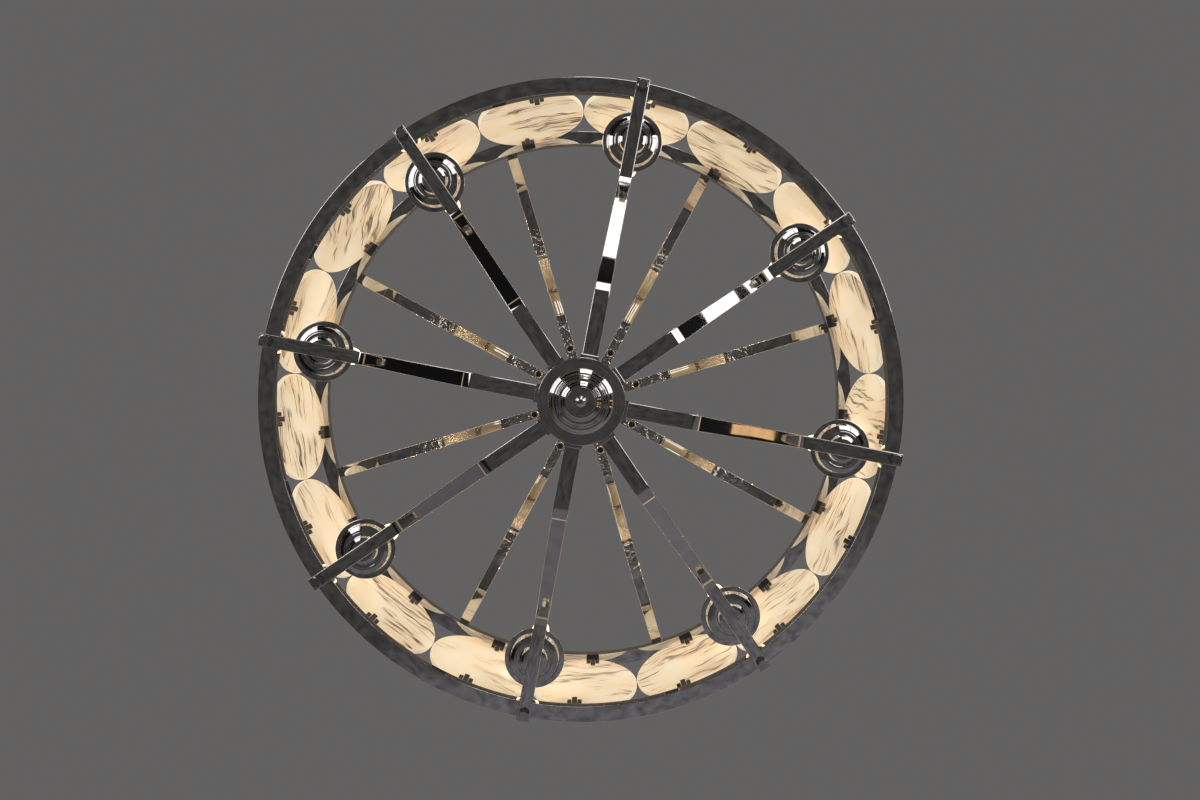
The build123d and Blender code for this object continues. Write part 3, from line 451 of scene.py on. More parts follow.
def alabaster():
    """Cream stone, tan towards the rings, with faint fibres and thin brown veins along each slice, and a
    painted glow in the same colours.
    """
    finish = Recipe(bpy.data.materials.new("alabaster"))
    slice_map = finish.node("ShaderNodeUVMap", {"uv_map": "slice"})
    veining = finish.node("ShaderNodeAttribute", {"attribute_name": "veining"}, output="Fac")
    near_ring = finish.node("ShaderNodeAttribute", {"attribute_name": "near_ring"}, output="Fac")
    slow = {"Vector": slice_map, "Scale": 1.1, "Detail": 2.0}
    drift = finish.node("ShaderNodeTexNoise", sockets=slow, output="Color")
    half = finish.node("ShaderNodeVectorMath", {"operation": "SUBTRACT"}, {0: drift, 1: (0.5, 0.5, 0.5)})
    push = finish.node("ShaderNodeVectorMath", {"operation": "SCALE"}, {0: half, "Scale": 0.55})
    bent_map = finish.node("ShaderNodeVectorMath", {"operation": "ADD"}, {0: slice_map, 1: push})

    def layers(along, across, detail):
        """Noise drawn out along the slice's layers."""
        stretch = {"Vector": bent_map, "Scale": (along, across, 1.0)}
        stretched = finish.node("ShaderNodeMapping", sockets=stretch)
        noise = {"Vector": stretched, "Scale": 1.0, "Detail": detail}
        return finish.node("ShaderNodeTexNoise", sockets=noise)

    lines = layers(0.5, 6.0, 3.5)
    hairs = layers(0.8, 14.0, 3.0)
    patches = layers(0.8, 1.6, 1.0)
    breaks = layers(2.4, 8.0, 2.0)
    fibres = layers(1.6, 16.0, 3.0)
    clouds = layers(0.8, 1.3, 3.0)
    patch = patches.within(0.44, 0.54)
    thread = (1 - abs(lines - 0.5).within(0.007, 0.036)) * patch * breaks.within(0.30, 0.48)
    hair = (1 - abs(hairs - 0.5).within(0.004, 0.030)) * patches.within(0.38, 0.56)
    hair = hair * breaks.within(0.38, 0.60)
    thread = thread.sum("MAXIMUM", thread, hair * 0.55)
    stain = (1 - abs(lines - 0.5).within(0.02, 0.12)) * patch
    tan_share = clouds.within(0.45, 0.75) * 0.45 + near_ring.within(0.45, 1.05) * 0.55
    tan_share = tan_share + fibres.within(0.45, 0.75) * 0.22
    ground = finish.mix(tan_share, (0.97, 0.855, 0.645, 1), (0.72, 0.50, 0.28, 1))
    stained = finish.mix(stain * veining * 0.42, ground, (0.56, 0.40, 0.22, 1))
    vein = thread * veining
    colour = finish.mix(vein, stained, (0.085, 0.05, 0.022, 1))
    grain = finish.node("ShaderNodeTexNoise", sockets={"Vector": slice_map, "Scale": 60.0, "Detail": 2.0})
    relief = grain + vein * -0.6
    bump = finish.node("ShaderNodeBump", sockets={"Height": relief, "Strength": 0.25, "Distance": 0.0004})
    # The emission is a painted glow: the stone shines in its own colours, veins and all, in place of
    # candlelight through it.
    surface = finish.node("ShaderNodeBsdfPrincipled", sockets={
        "Base Color": colour, "Roughness": grain * 0.1 + 0.26, "Normal": bump,
        "Subsurface Weight": 0.15, "Subsurface Radius": (0.9, 0.6, 0.35), "Subsurface Scale": 0.004,
        "Emission Color": colour, "Emission Strength": 0.36,
    })
    finish.node("ShaderNodeOutputMaterial", sockets={0: surface})
    return finish.owner


stone = alabaster()
# How strongly each slice is veined, and how far its pattern is turned, in degrees.
SLICES = [
    (0.8, 8), (0.7, -5), (0.8, 12), (0.7, 4), (0.6, -10), (1.0, 6), (0.6, -4), (1.0, 10), (0.7, 0),
    (0.9, 40), (0.6, -8), (1.0, 5), (0.7, -12), (1.0, 9), (0.15, 0), (1.0, -6), (0.9, 80),
]
# How far apart in the stone the slices are cut, so that no two look alike.
SLICE_STEP = (7.3, 3.1)
FACE = DISC_THICKNESS / 2
for number, (strength, lie) in enumerate(SLICES, start=1):
    slab = turned([
        (0, -FACE), (VEINED_RADIUS, -FACE), (DISC_RADIUS, -FACE, DISC_EDGE),
        (DISC_RADIUS, FACE, DISC_EDGE), (VEINED_RADIUS, FACE), (0, FACE),
    ], steps=96)
    pattern = slab.loops.layers.uv.new("slice")
    turn = Matrix.Rotation(radians(lie), 2)
    for face in slab.faces:
        for loop in face.loops:
            spot = turn @ Vector(loop.vert.co.xy) / DISC_RADIUS
            loop[pattern].uv = (spot.x + SLICE_STEP[0] * number, spot.y + SLICE_STEP[1] * number)
    amount = slab.verts.layers.float.new("veining")
    height_share = slab.verts.layers.float.new("near_ring")
    for vert in slab.verts:
        on_face = hypot(vert.co.x, vert.co.y) < VEINED_RADIUS + 1e-5
        vert[amount] = strength if on_face else 0.0
        vert[height_share] = abs(vert.co.y) / DISC_RADIUS if on_face else 0.0
    stand = Matrix.Rotation(pi / 2, 4, "Z") @ Matrix.Rotation(pi / 2, 4, "X")
    azimuth = DISC_TURN + 2 * pi * (number - 1) / DISC_COUNT
    moved(slab, Matrix.Rotation(azimuth, 4, "Z") @ at_disc @ stand)
    finished(slab, f"stone_{number:02d}", "fixture", "stone", stone, f"disc_{number:02d}", crease=50)

# Lower arms: hollow bars of polished plated metal, bent twice, so that they rise from the hub to the ring.
# Each is brazed to a flange, and two screws inside the drum hold the flange to the drum's wall.
ARM_COUNT = 8
ARM_WIDTH = 0.0226
ARM_EDGE = 0.0015
LOWER_BEND = 0.028
LOWER_INNER_CORNER = 0.160
LOWER_OUTER_CORNER = 0.38006
DRUM_RADIUS = 0.060
LOWER_THICKNESS = 0.010
FLANGE_LIP = 0.008
FLANGE_FACE = 0.0654
FLANGE_WIDTH = 0.0254


def pulled(shape, faces, shift):
    """Pulls faces out along a straight run, and gives the new end faces."""
    grown = bmesh.ops.extrude_face_region(shape, geom=faces)["geom"]
    bmesh.ops.translate(shape, verts=[v for v in grown if isinstance(v, bmesh.types.BMVert)], vec=shift)
    bmesh.ops.delete(shape, geom=[f for f in faces if f.is_valid], context="FACES_ONLY")
    return [f for f in grown if isinstance(f, bmesh.types.BMFace)]


def bent_run(shape, faces, line, thickness, inside):
    """Carries a bar's end faces along a line of its underside, round each corner of it."""
    at = Vector((line[0][0], 0, line[0][1]))
    heading = 0.0
    for here, corner in enumerate(line[1:], start=1):
        goal = Vector((corner[0], 0, corner[1]))
        if here == len(line) - 1:
            return pulled(shape, faces, goal - at)
        after = line[here + 1]
        slope = atan2(after[1] - corner[1], after[0] - corner[0])
        rise = slope - heading
        bend = inside + (thickness if rise > 0 else 0)
        along = Vector((cos(heading), 0, sin(heading)))
        start = goal - along * bend * tan(abs(rise) / 2)
        faces = pulled(shape, faces, start - at)
        up = Vector((-sin(heading), 0, cos(heading)))
        pivot = start + up * (bend if rise > 0 else -bend)
        turned_end = bmesh.ops.spin(
            shape, geom=faces, cent=pivot, axis=(0, 1, 0), angle=-rise, steps=14,
        )["geom_last"]
        bmesh.ops.delete(shape, geom=[f for f in faces if f.is_valid], context="FACES_ONLY")
        faces = [f for f in turned_end if isinstance(f, bmesh.types.BMFace)]
        at = goal + Vector((cos(slope), 0, sin(slope))) * bend * tan(abs(rise) / 2)
        heading = slope


def eased(shape, amount, wanted=lambda e: True):
    """Rounds a shape's sharp outer edges."""
    bmesh.ops.recalc_face_normals(shape, faces=shape.faces[:])
    edges = [e for e in shape.edges if e.is_convex and e.calc_face_angle(0) > radians(50) and wanted(e)]
    bmesh.ops.bevel(
        shape, geom=edges, offset=amount, offset_type="OFFSET", affect="EDGES",
        segments=3, profile=0.5, material=-1,
    )
    return shape


arm_low, arm_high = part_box("lower_arm_1")
ARM_REACH = arm_high.x
LOWER_INNER = arm_low.z + FLANGE_LIP
LOWER_OUTER = arm_high.z - LOWER_THICKNESS
lower_line = [
    (FLANGE_FACE, LOWER_INNER), (LOWER_INNER_CORNER, LOWER_INNER),
    (LOWER_OUTER_CORNER, LOWER_OUTER), (ARM_REACH, LOWER_OUTER),
]


def lower_arm():
    """The flange plate, and the bar drawn out of its face."""
    shape = bmesh.new()
    bmesh.ops.create_cube(shape, size=1)
    depth = FLANGE_FACE - DRUM_RADIUS
    tall = LOWER_THICKNESS + 2 * FLANGE_LIP
    bmesh.ops.scale(shape, verts=shape.verts[:], vec=(depth, FLANGE_WIDTH, tall))
    middle = Vector((DRUM_RADIUS + depth / 2, 0, LOWER_INNER + LOWER_THICKNESS / 2))
    bmesh.ops.translate(shape, verts=shape.verts[:], vec=middle)
    eased(shape, ARM_EDGE, lambda e: min(v.co.x for v in e.verts) > FLANGE_FACE - 1e-5)
    cuts = [((0, y, 0), (0, 1, 0)) for y in (-ARM_WIDTH / 2, 0, ARM_WIDTH / 2)]
    cuts += [((0, 0, z), (0, 0, 1)) for z in (LOWER_INNER, LOWER_INNER + LOWER_THICKNESS)]
    for spot, facing in cuts:
        everything = shape.verts[:] + shape.edges[:] + shape.faces[:]
        bmesh.ops.bisect_plane(shape, geom=everything, plane_co=spot, plane_no=facing)
    for v in shape.verts:
        if v.co.x < DRUM_RADIUS + 1e-5:
            v.co.x = sqrt((DRUM_RADIUS + SEAT) ** 2 - v.co.y ** 2)
    root = []
    for face in shape.faces:
        centre = face.calc_center_median()
        inside = abs(centre.y) < ARM_WIDTH / 2 and abs(centre.z - middle.z) < LOWER_THICKNESS / 2
        if inside and centre.x > FLANGE_FACE - 1e-5:
            root.append(face)
    bent_run(shape, root, lower_line, LOWER_THICKNESS, LOWER_BEND)
    return eased(shape, ARM_EDGE, lambda e: max(v.co.x for v in e.verts) > FLANGE_FACE + 1e-4)


first_arm = lower_arm()
for number in range(1, ARM_COUNT + 1):
    arm = moved(first_arm.copy(), Matrix.Rotation(2 * pi * (number - 1) / ARM_COUNT, 4, "Z"))
    node = f"lower_arm_{number}"
    finished(arm, f"lower_arm_bar_{number}", "fixture", "polished_metal", polished_nickel, node)
first_arm.free()

# Upper arms: flat bars of the same plated metal, bent twice. They lie on top of the upper ring, rise to the
# upper hub and are screwed under its lugs.
UPPER_ARM_TURN = radians(17.7)
UPPER_THICKNESS = 0.008
UPPER_BEND = 0.009
UPPER_ROOT = 0.0903
UPPER_INNER_CORNER = 0.2005
UPPER_OUTER_CORNER = 0.3155
STUB = 0.002
LUG_RISE = 0.015
UPPER_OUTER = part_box("upper_ring")[1].z
UPPER_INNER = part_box("hub_screws")[1].z - LUG_RISE
upper_line = [
    (UPPER_ROOT + STUB, UPPER_INNER), (UPPER_INNER_CORNER, UPPER_INNER),
    (UPPER_OUTER_CORNER, UPPER_OUTER), (ARM_REACH, UPPER_OUTER),
]
bar = bmesh.new()
bmesh.ops.create_grid(bar, x_segments=1, y_segments=1, size=0.5)
bmesh.ops.scale(bar, verts=bar.verts[:], vec=(UPPER_THICKNESS, ARM_WIDTH, 1))
at_root = Matrix.Translation((UPPER_ROOT, 0, UPPER_INNER + UPPER_THICKNESS / 2))
moved(bar, at_root @ Matrix.Rotation(pi / 2, 4, "Y"))
grown = bmesh.ops.extrude_face_region(bar, geom=bar.faces[:])["geom"]
bmesh.ops.translate(bar, verts=[v for v in grown if isinstance(v, bmesh.types.BMVert)], vec=(STUB, 0, 0))
end = [f for f in grown if isinstance(f, bmesh.types.BMFace)]
bent_run(bar, end, upper_line, UPPER_THICKNESS, UPPER_BEND)
eased(bar, ARM_EDGE)
bent_nickel = plated("bent_nickel", (0.68, 0.65, 0.61), 0.015, 0.045, dents=0.007)
for number in range(1, ARM_COUNT + 1):
    turn = UPPER_ARM_TURN + 2 * pi * (number - 1) / ARM_COUNT
    arm = moved(bar.copy(), Matrix.Rotation(turn, 4, "Z"))
    node = f"upper_arm_{number}"
    finished(arm, f"upper_arm_bar_{number}", "fixture", "polished_metal", bent_nickel, node)
bar.free()

# Arm bolts: steel hexagon heads with a turned chamfer. Eight bolts go up through the lower arms into the
# lower ring, and eight go down through the upper arms into the upper ring.
BOLT_CIRCLE = RING_RADIUS + 0.003
BOLT_HEAD = 0.017
BOLT_HEAD_HEIGHT = 0.0075


def cut_by(shape, tool, operation):
    """One shape joined with, cut by or trimmed to another."""
    made = []
    for part in (shape, tool):
        mesh = bpy.data.meshes.new("blank")
        part.to_mesh(mesh)
        part.free()
        blank = bpy.data.objects.new("blank", mesh)
        scene.collection.objects.link(blank)
        made.append(blank)
    step = made[0].modifiers.new("cut", "BOOLEAN")
    step.operation, step.solver, step.object = operation, "EXACT", made[1]
    bpy.context.view_layer.update()
    result = bmesh.new()
    result.from_object(made[0], bpy.context.evaluated_depsgraph_get())
    for blank in made:
        mesh = blank.data
        bpy.data.objects.remove(blank)
        bpy.data.meshes.remove(mesh)
    return result


def hexagon(across_flats, bottom, top):
    """An upright hexagonal prism on the axis."""
    shape = bmesh.new()
    corner = across_flats / sqrt(3)
    bmesh.ops.create_cone(
        shape, cap_ends=True, segments=6, radius1=corner, radius2=corner, depth=top - bottom,
    )
    return moved(shape, Matrix.Translation((0, 0, (bottom + top) / 2)) @ Matrix.Rotation(pi / 6, 4, "Z"))


def bolt_head():
    """A head that hangs below height 0, its far side chamfered."""
    reach = BOLT_HEAD / sqrt(3) + 0.0005
    face = BOLT_HEAD / 2 - 0.0003
    blank = turned([
        (0, 0), (reach, 0), (reach, (reach - face) * 0.5 - BOLT_HEAD_HEIGHT),
        (face, -BOLT_HEAD_HEIGHT, 0.0003), (0, -BOLT_HEAD_HEIGHT),
    ], steps=60)
    return cut_by(hexagon(BOLT_HEAD, -BOLT_HEAD_HEIGHT - 0.001, 0.0), blank, "INTERSECT")


low_bolt = moved(bolt_head(), Matrix.Translation((BOLT_CIRCLE, 0, LOWER_OUTER)))
high_place = Matrix.Translation((BOLT_CIRCLE, 0, UPPER_OUTER + UPPER_THICKNESS))
high_bolt = moved(bolt_head(), high_place @ Matrix.Rotation(pi, 4, "X"))
bolts = joined([repeated(low_bolt, ARM_COUNT), repeated(high_bolt, ARM_COUNT, UPPER_ARM_TURN)])
bolt_steel = plated("bolt_steel", (0.56, 0.55, 0.53), 0.10, 0.20)
finished(bolts, "bolt_heads", "fixture", "fasteners", bolt_steel, "arm_bolts", crease=20)

# Hub drum: a turned cup of plated metal, open below, with a broken edge top and bottom. The lower arms are
# screwed to its wall, and the column comes down through its lid.
drum_low, drum_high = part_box("hub_drum")
DRUM_LID = 0.006
DRUM_WALL = 0.005
COLUMN_RADIUS = 0.016
drum = turned([
    (COLUMN_RADIUS + SEAT, drum_high.z), (COLUMN_RADIUS + SEAT, drum_high.z - DRUM_LID),
    (DRUM_RADIUS - DRUM_WALL, drum_high.z - DRUM_LID), (DRUM_RADIUS - DRUM_WALL, drum_low.z),
    (DRUM_RADIUS, drum_low.z, 0.0006), (DRUM_RADIUS, drum_high.z, 0.0015),
], steps=160)
finished(drum, "drum", "fixture", "polished_metal", polished_nickel, "hub_drum")

# Hub dome: a sheet spun over a former into three tiers below a flat rim with two shallow grooves. Each tier
# is two slanting bands with a fine step between them, and a ring is scribed into the flat middle.
dome_low, dome_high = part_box("hub_dome")
DOME_REACH = 0.0605
DOME_RIM = 0.0018
DOME_TREADS = (0.0155, 0.0024, 0.0036)
TIER = (dome_high.z - DOME_RIM - dome_low.z) / 3
FINE_STEPS = (0.0005, 0.0013, 0.0009)
RIM_GROOVE = 0.0520
SCRIBED_RING = 0.0197
STUD_HOLE = 0.0033
edge, level = DOME_REACH, dome_high.z - DOME_RIM
dome_outline = [(STUD_HOLE, dome_high.z - 0.0006), (edge, dome_high.z, 0.0004), (edge, level, 0.0009)]
dome_outline += [
    (RIM_GROOVE + 0.0009, level), (RIM_GROOVE, level + 0.0003), (RIM_GROOVE - 0.0009, level),
    (RIM_GROOVE - 0.0028, level), (RIM_GROOVE - 0.0036, level + 0.0002), (RIM_GROOVE - 0.0044, level),
]
for tread, fine_step in zip(DOME_TREADS, FINE_STEPS):
    edge -= tread
    band = (TIER - fine_step) / 2
    dome_outline += [
        (edge, level, 0.0003), (edge - band, level - TIER / 2, 0.0002),
        (edge - band - fine_step, level - TIER / 2, 0.0002), (edge - TIER, level - TIER, 0.0003),
    ]
    edge, level = edge - TIER, level - TIER
dome_outline += [
    (SCRIBED_RING + 0.0004, level), (SCRIBED_RING, level + 0.00035),
    (SCRIBED_RING - 0.0004, level), (STUD_HOLE, level),
]
dome = turned(dome_outline, steps=192)
finished(dome, "dome", "fixture", "polished_metal", polished_nickel, "hub_dome", crease=40)

# Finial: a turned and polished ball on a short neck. It is screwed up through the dome into the column, and
# holds the dome to the drum.
FINIAL_RADIUS = 0.0083
NECK_FOOT = 0.0060
NECK_RADIUS = 0.0046
finial_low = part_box("finial")[0].z
ball = bmesh.new()
bmesh.ops.create_uvsphere(ball, u_segments=64, v_segments=40, radius=FINIAL_RADIUS)
moved(ball, Matrix.Translation((0, 0, finial_low + FINIAL_RADIUS)))
neck_top = dome_low.z
neck = turned([
    (0, neck_top), (NECK_FOOT, neck_top), (NECK_FOOT, neck_top - 0.0007, 0.0003),
    (NECK_RADIUS, neck_top - 0.0011, 0.0002), (NECK_RADIUS, neck_top - 0.0030), (0, neck_top - 0.0030),
], steps=48)
finished(joined([ball, neck]), "finial_ball", "fixture", "polished_metal", polished_nickel, "finial")

# Upper hub: a turned and skirted plate of plated metal on top of the column, with a boss for the stem. A lug
# stands out over each upper arm to take its screw.
HUB_RADIUS = 0.090
HUB_RIM = 0.006
HUB_SKIRT = 0.003
BOSS_RADIUS = 0.024
COLUMN_SOCKET = 0.012
LUG_TOP = UPPER_INNER + LUG_RISE
LUG_BOTTOM = UPPER_INNER + UPPER_THICKNESS
LUG_HALF = 0.010
LUG_REACH = 0.134
STEM_RADIUS = 0.011
hub_low, hub_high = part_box("upper_hub")
hub = turned([
    (COLUMN_RADIUS + SEAT, hub_low.z), (BOSS_RADIUS, hub_low.z, 0.0012), (BOSS_RADIUS, LUG_BOTTOM, 0.002),
    (HUB_RADIUS - HUB_RIM, LUG_BOTTOM), (HUB_RADIUS - HUB_RIM, UPPER_INNER - HUB_SKIRT, 0.0005),
    (HUB_RADIUS, UPPER_INNER - HUB_SKIRT, 0.001), (HUB_RADIUS, LUG_TOP, 0.0012),
    (BOSS_RADIUS, LUG_TOP, 0.002), (BOSS_RADIUS, hub_high.z, 0.0015), (STEM_RADIUS + SEAT, hub_high.z),
    (STEM_RADIUS + SEAT, hub_low.z + COLUMN_SOCKET), (COLUMN_RADIUS + SEAT, hub_low.z + COLUMN_SOCKET),
], steps=128)
lug = bmesh.new()
bmesh.ops.create_cube(lug, size=1)
lug_root = HUB_RADIUS - HUB_RIM / 2
lug_size = (LUG_REACH - lug_root, 2 * LUG_HALF, LUG_TOP - LUG_BOTTOM - 2e-5)
lug_middle = ((LUG_REACH + lug_root) / 2, 0, (LUG_TOP + LUG_BOTTOM) / 2)
bmesh.ops.scale(lug, verts=lug.verts[:], vec=lug_size)
bmesh.ops.translate(lug, verts=lug.verts[:], vec=lug_middle)
outer_edges = [e for e in lug.edges if min(v.co.x for v in e.verts) > LUG_REACH - 1e-5]
tips = [e for e in outer_edges if abs(e.verts[0].co.y - e.verts[1].co.y) < 1e-6]
bmesh.ops.bevel(
    lug, geom=tips, offset=LUG_HALF * 0.98, offset_type="OFFSET", affect="EDGES",
    segments=12, profile=0.5, material=-1,
)
hub = cut_by(hub, repeated(lug, ARM_COUNT, UPPER_ARM_TURN), "UNION")
finished(hub, "hub_plate", "fixture", "polished_metal", polished_nickel, "upper_hub")

# Hub screws: black cap screws with a hexagon socket, on conical steel washers, hold the upper arms to the
# lugs. Cheese-head screws inside the drum hold the flanges of the lower arms.
CAP_RADIUS = 0.0065
CAP_HEIGHT = 0.008
SOCKET = 0.006
LUG_SCREW_CIRCLE = 0.121
CHEESE_RADIUS = 0.0035
CHEESE_HEIGHT = 0.003
WASHER_BORE = 0.0067
WASHER_RADIUS = 0.0095
WASHER_HEIGHT = 0.0018
cap = turned([
    (0, 0), (CAP_RADIUS, 0), (CAP_RADIUS, -CAP_HEIGHT, 0.0012), (0, -CAP_HEIGHT),
], steps=40)
cap = cut_by(cap, hexagon(SOCKET, -CAP_HEIGHT - 0.001, -CAP_HEIGHT / 2), "DIFFERENCE")
at_lug = Matrix.Translation((LUG_SCREW_CIRCLE, 0, UPPER_INNER))
caps = repeated(moved(cap, at_lug), ARM_COUNT, UPPER_ARM_TURN)
flange_screws = []
for level in (LOWER_INNER - FLANGE_LIP / 2, LOWER_INNER + LOWER_THICKNESS + FLANGE_LIP / 2):
    head = turned([
        (0, 0), (CHEESE_RADIUS, 0), (CHEESE_RADIUS, CHEESE_HEIGHT, 0.0006), (0, CHEESE_HEIGHT),
    ], steps=24)
    at_wall = Matrix.Translation((DRUM_RADIUS - DRUM_WALL - SEAT, 0, level))
    moved(head, at_wall @ Matrix.Rotation(-pi / 2, 4, "Y"))
    flange_screws.append(repeated(head, ARM_COUNT))
screws = joined([caps, *flange_screws])
black_steel = plated("black_steel", (0.15, 0.14, 0.13), 0.12, 0.24)
finished(screws, "socket_screws", "fixture", "fasteners", black_steel, "hub_screws", crease=30)
washer = turned([
    (WASHER_BORE, 0), (WASHER_RADIUS, 0), (0.0093, -0.0003),
    (0.0073, -WASHER_HEIGHT), (WASHER_BORE, -WASHER_HEIGHT),
], steps=40)
washers = repeated(moved(washer, at_lug), ARM_COUNT, UPPER_ARM_TURN)
finished(washers, "cap_washers", "fixture", "fasteners", bolt_steel)

# Column and stem: plain polished tubes. The column joins the two hubs and carries the drum on its flange,
# and the stem goes up from the upper hub to the ceiling.
COLUMN_BORE = 0.0135
COLUMN_FLANGE = 0.0260
STEM_BORE = 0.0086
column_low, column_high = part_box("column")
lid_underside = drum_high.z - DRUM_LID
column_tube = turned([
    (COLUMN_BORE, column_low.z), (COLUMN_FLANGE, column_low.z, 0.0008),
    (COLUMN_FLANGE, lid_underside, 0.0008), (COLUMN_RADIUS, lid_underside),
    (COLUMN_RADIUS, column_high.z), (COLUMN_BORE, column_high.z),
], steps=64)
finished(column_tube, "column_tube", "fixture", "polished_metal", polished_nickel, "column")
stem_low, stem_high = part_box("stem")
stem_tube = turned([
    (STEM_BORE, stem_low.z), (STEM_RADIUS, stem_low.z), (STEM_RADIUS, stem_high.z), (STEM_BORE, stem_high.z),
], steps=64)
finished(stem_tube, "stem_tube", "fixture", "polished_metal", polished_nickel, "stem")

# Candle cups: spun dishes that stand on the lower arms. Two sloping bands, each with a steep step above
# it, carry a nearly flat tread and a flat rim, and a bead is rolled into the tread.
CANDLE_INSET = 0.084
CANDLE_CIRCLE = RING_RADIUS - CANDLE_INSET
CANDLE_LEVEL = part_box("lower_ring")[0].z
CUP_WALL = 0.0014
NIPPLE_HOLE = 0.0053
cup_under = [
    (0.0180, 0.0, 0.0006), (0.0225, 0.0019, 0.0003), (0.0252, 0.0061, 0.0003), (0.0299, 0.0062, 0.0003),
    (0.0308, 0.0058, 0.0003), (0.0317, 0.0062, 0.0003), (0.0346, 0.0063, 0.0004), (0.0412, 0.0090, 0.0003),
    (0.0446, 0.0142, 0.0003), (0.0510, 0.0143, 0.0003), (0.0520, 0.0147, 0.0003), (0.0520, 0.0152, 0.0002),
]
cup_inside = [
    (0.0445, 0.0152, 0.0003), (0.0431, 0.0150, 0.0003), (0.0404, 0.0104, 0.0005), (0.0343, 0.0077, 0.0005),
    (0.0244, 0.0075, 0.0005), (0.0216, 0.0033, 0.0005), (0.0177, 0.0014, 0.0005),
]
cup = turned([(NIPPLE_HOLE, 0.0)] + cup_under + cup_inside + [(NIPPLE_HOLE, CUP_WALL)], steps=96)
at_candle = Matrix.Translation((CANDLE_CIRCLE, 0, CANDLE_LEVEL))
cups = repeated(moved(cup, at_candle), ARM_COUNT)
finished(cups, "cups", "fixture", "cup_metal", polished_nickel, "candle_cups", crease=40)

# Candle sleeves: tubes of cream plastic with a satin, waxy surface and an eased lip. They are pushed down
# over the lampholders, stand in the cups and hide the holders.
SLEEVE_BORE = 0.0104
SLEEVE_RADIUS = 0.0115
sleeve_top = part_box("candle_sleeves")[1].z - CANDLE_LEVEL
wax = Recipe(bpy.data.materials.new("cream_sleeve"))
wax_place = wax.node("ShaderNodeTexCoord", output="Object")
wax_noise = wax.node("ShaderNodeTexNoise", sockets={"Vector": wax_place, "Scale": 55.0, "Detail": 3.0})
wax_colour = wax.mix(wax_noise.within(0.3, 0.7), (0.80, 0.74, 0.62, 1), (0.72, 0.65, 0.52, 1))
wax_bump = wax.node("ShaderNodeBump", sockets={"Height": wax_noise, "Strength": 0.3, "Distance": 0.0006})
wax_surface = wax.node("ShaderNodeBsdfPrincipled", sockets={
    "Base Color": wax_colour, "Roughness": wax_noise * 0.2 + 0.35, "Normal": wax_bump,
    "Subsurface Weight": 0.2, "Subsurface Radius": (0.8, 0.5, 0.3), "Subsurface Scale": 0.004,
})
wax.node("ShaderNodeOutputMaterial", sockets={0: wax_surface})
sleeve = turned([
    (SLEEVE_BORE, CUP_WALL), (SLEEVE_RADIUS, CUP_WALL),
    (SLEEVE_RADIUS, sleeve_top, 0.0004), (SLEEVE_BORE, sleeve_top, 0.0003),
], steps=40)
sleeves = repeated(moved(sleeve, at_candle), ARM_COUNT)
finished(sleeves, "sleeves", "fixture", "candle_sleeve", wax.owner, "candle_sleeves")

# Bulbs: clear glass blown to the shape of a flame, each in a brass cap that is screwed into its lampholder.
# Four warm filaments stand inside, leaning out.
FILAMENT_RADIUS = 0.0011
FILAMENT_LENGTH = 0.036
FILAMENT_SPREAD = 0.0056
BULB_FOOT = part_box("bulbs")[0].z - CANDLE_LEVEL
BULB_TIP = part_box("bulbs")[1].z - CANDLE_LEVEL
glass = Recipe(bpy.data.materials.new("clear_glass"))
edge_gloss = glass.node("ShaderNodeFresnel", sockets={"IOR": 1.45})
clear = glass.node("ShaderNodeBsdfTransparent", sockets={0: (0.97, 0.97, 0.97, 1)})
gloss = glass.node("ShaderNodeBsdfGlossy", sockets={0: (1, 1, 1, 1), "Roughness": 0.02})
both = glass.node("ShaderNodeMixShader", sockets={0: edge_gloss, 1: clear, 2: gloss})
# Painted glare: a warm glow painted on the glass where it is seen edge-on, in place of the filaments' light
# bent through it.
rim_view = glass.node("ShaderNodeLayerWeight", sockets={"Blend": 0.5}, output="Facing")
rim_glow = glass.node("ShaderNodeEmission", sockets={0: (1.0, 0.74, 0.42, 1), 1: 5.0})
rim_share = rim_view.within(0.60, 1.0) * 0.8
both = glass.node("ShaderNodeMixShader", sockets={0: rim_share, 1: both, 2: rim_glow})
glass.node("ShaderNodeOutputMaterial", sockets={0: both})
# The outside up to the tip, and then the inside back down, one millimetre in.
envelope = turned([
    (0.0075, BULB_FOOT, 0.001), (0.0147, BULB_FOOT + 0.0175, 0.012), (0.0176, BULB_FOOT + 0.036, 0.014),
    (0.0133, BULB_FOOT + 0.0585, 0.014), (0.0040, BULB_TIP - 0.004, 0.004), (0.0, BULB_TIP),
    (0.0, BULB_TIP - 0.001), (0.0030, BULB_TIP - 0.005, 0.003), (0.0123, BULB_FOOT + 0.0585, 0.014),
    (0.0166, BULB_FOOT + 0.036, 0.014), (0.0137, BULB_FOOT + 0.0175, 0.012), (0.0065, BULB_FOOT, 0.001),
], steps=48)
envelopes = repeated(moved(envelope, at_candle), ARM_COUNT)
finished(envelopes, "glass_bulbs", "fixture", "bulb_glass", glass.owner, "bulbs", crease=60)

ember = Recipe(bpy.data.materials.new("filament"))
ember_surface = ember.node("ShaderNodeBsdfPrincipled", sockets={
    "Base Color": (0.9, 0.6, 0.3, 1), "Emission Color": (1.0, 0.70, 0.40, 1), "Emission Strength": 60.0,
})
ember.node("ShaderNodeOutputMaterial", sockets={0: ember_surface})
beside_axis = Matrix.Translation((FILAMENT_SPREAD, 0, BULB_FOOT + 0.040))
lean_out = Matrix.Rotation(radians(9), 4, "Y")
wires = []
for place in range(4):
    wire = bmesh.new()
    bmesh.ops.create_cone(
        wire, cap_ends=True, segments=10, radius1=FILAMENT_RADIUS, radius2=FILAMENT_RADIUS,
        depth=FILAMENT_LENGTH,
    )
    wires.append(moved(wire, Matrix.Rotation(place * pi / 2, 4, "Z") @ beside_axis @ lean_out))
filaments = repeated(moved(joined(wires), at_candle), ARM_COUNT)
finished(filaments, "filaments", "fixture", "bulb_glass", ember.owner)

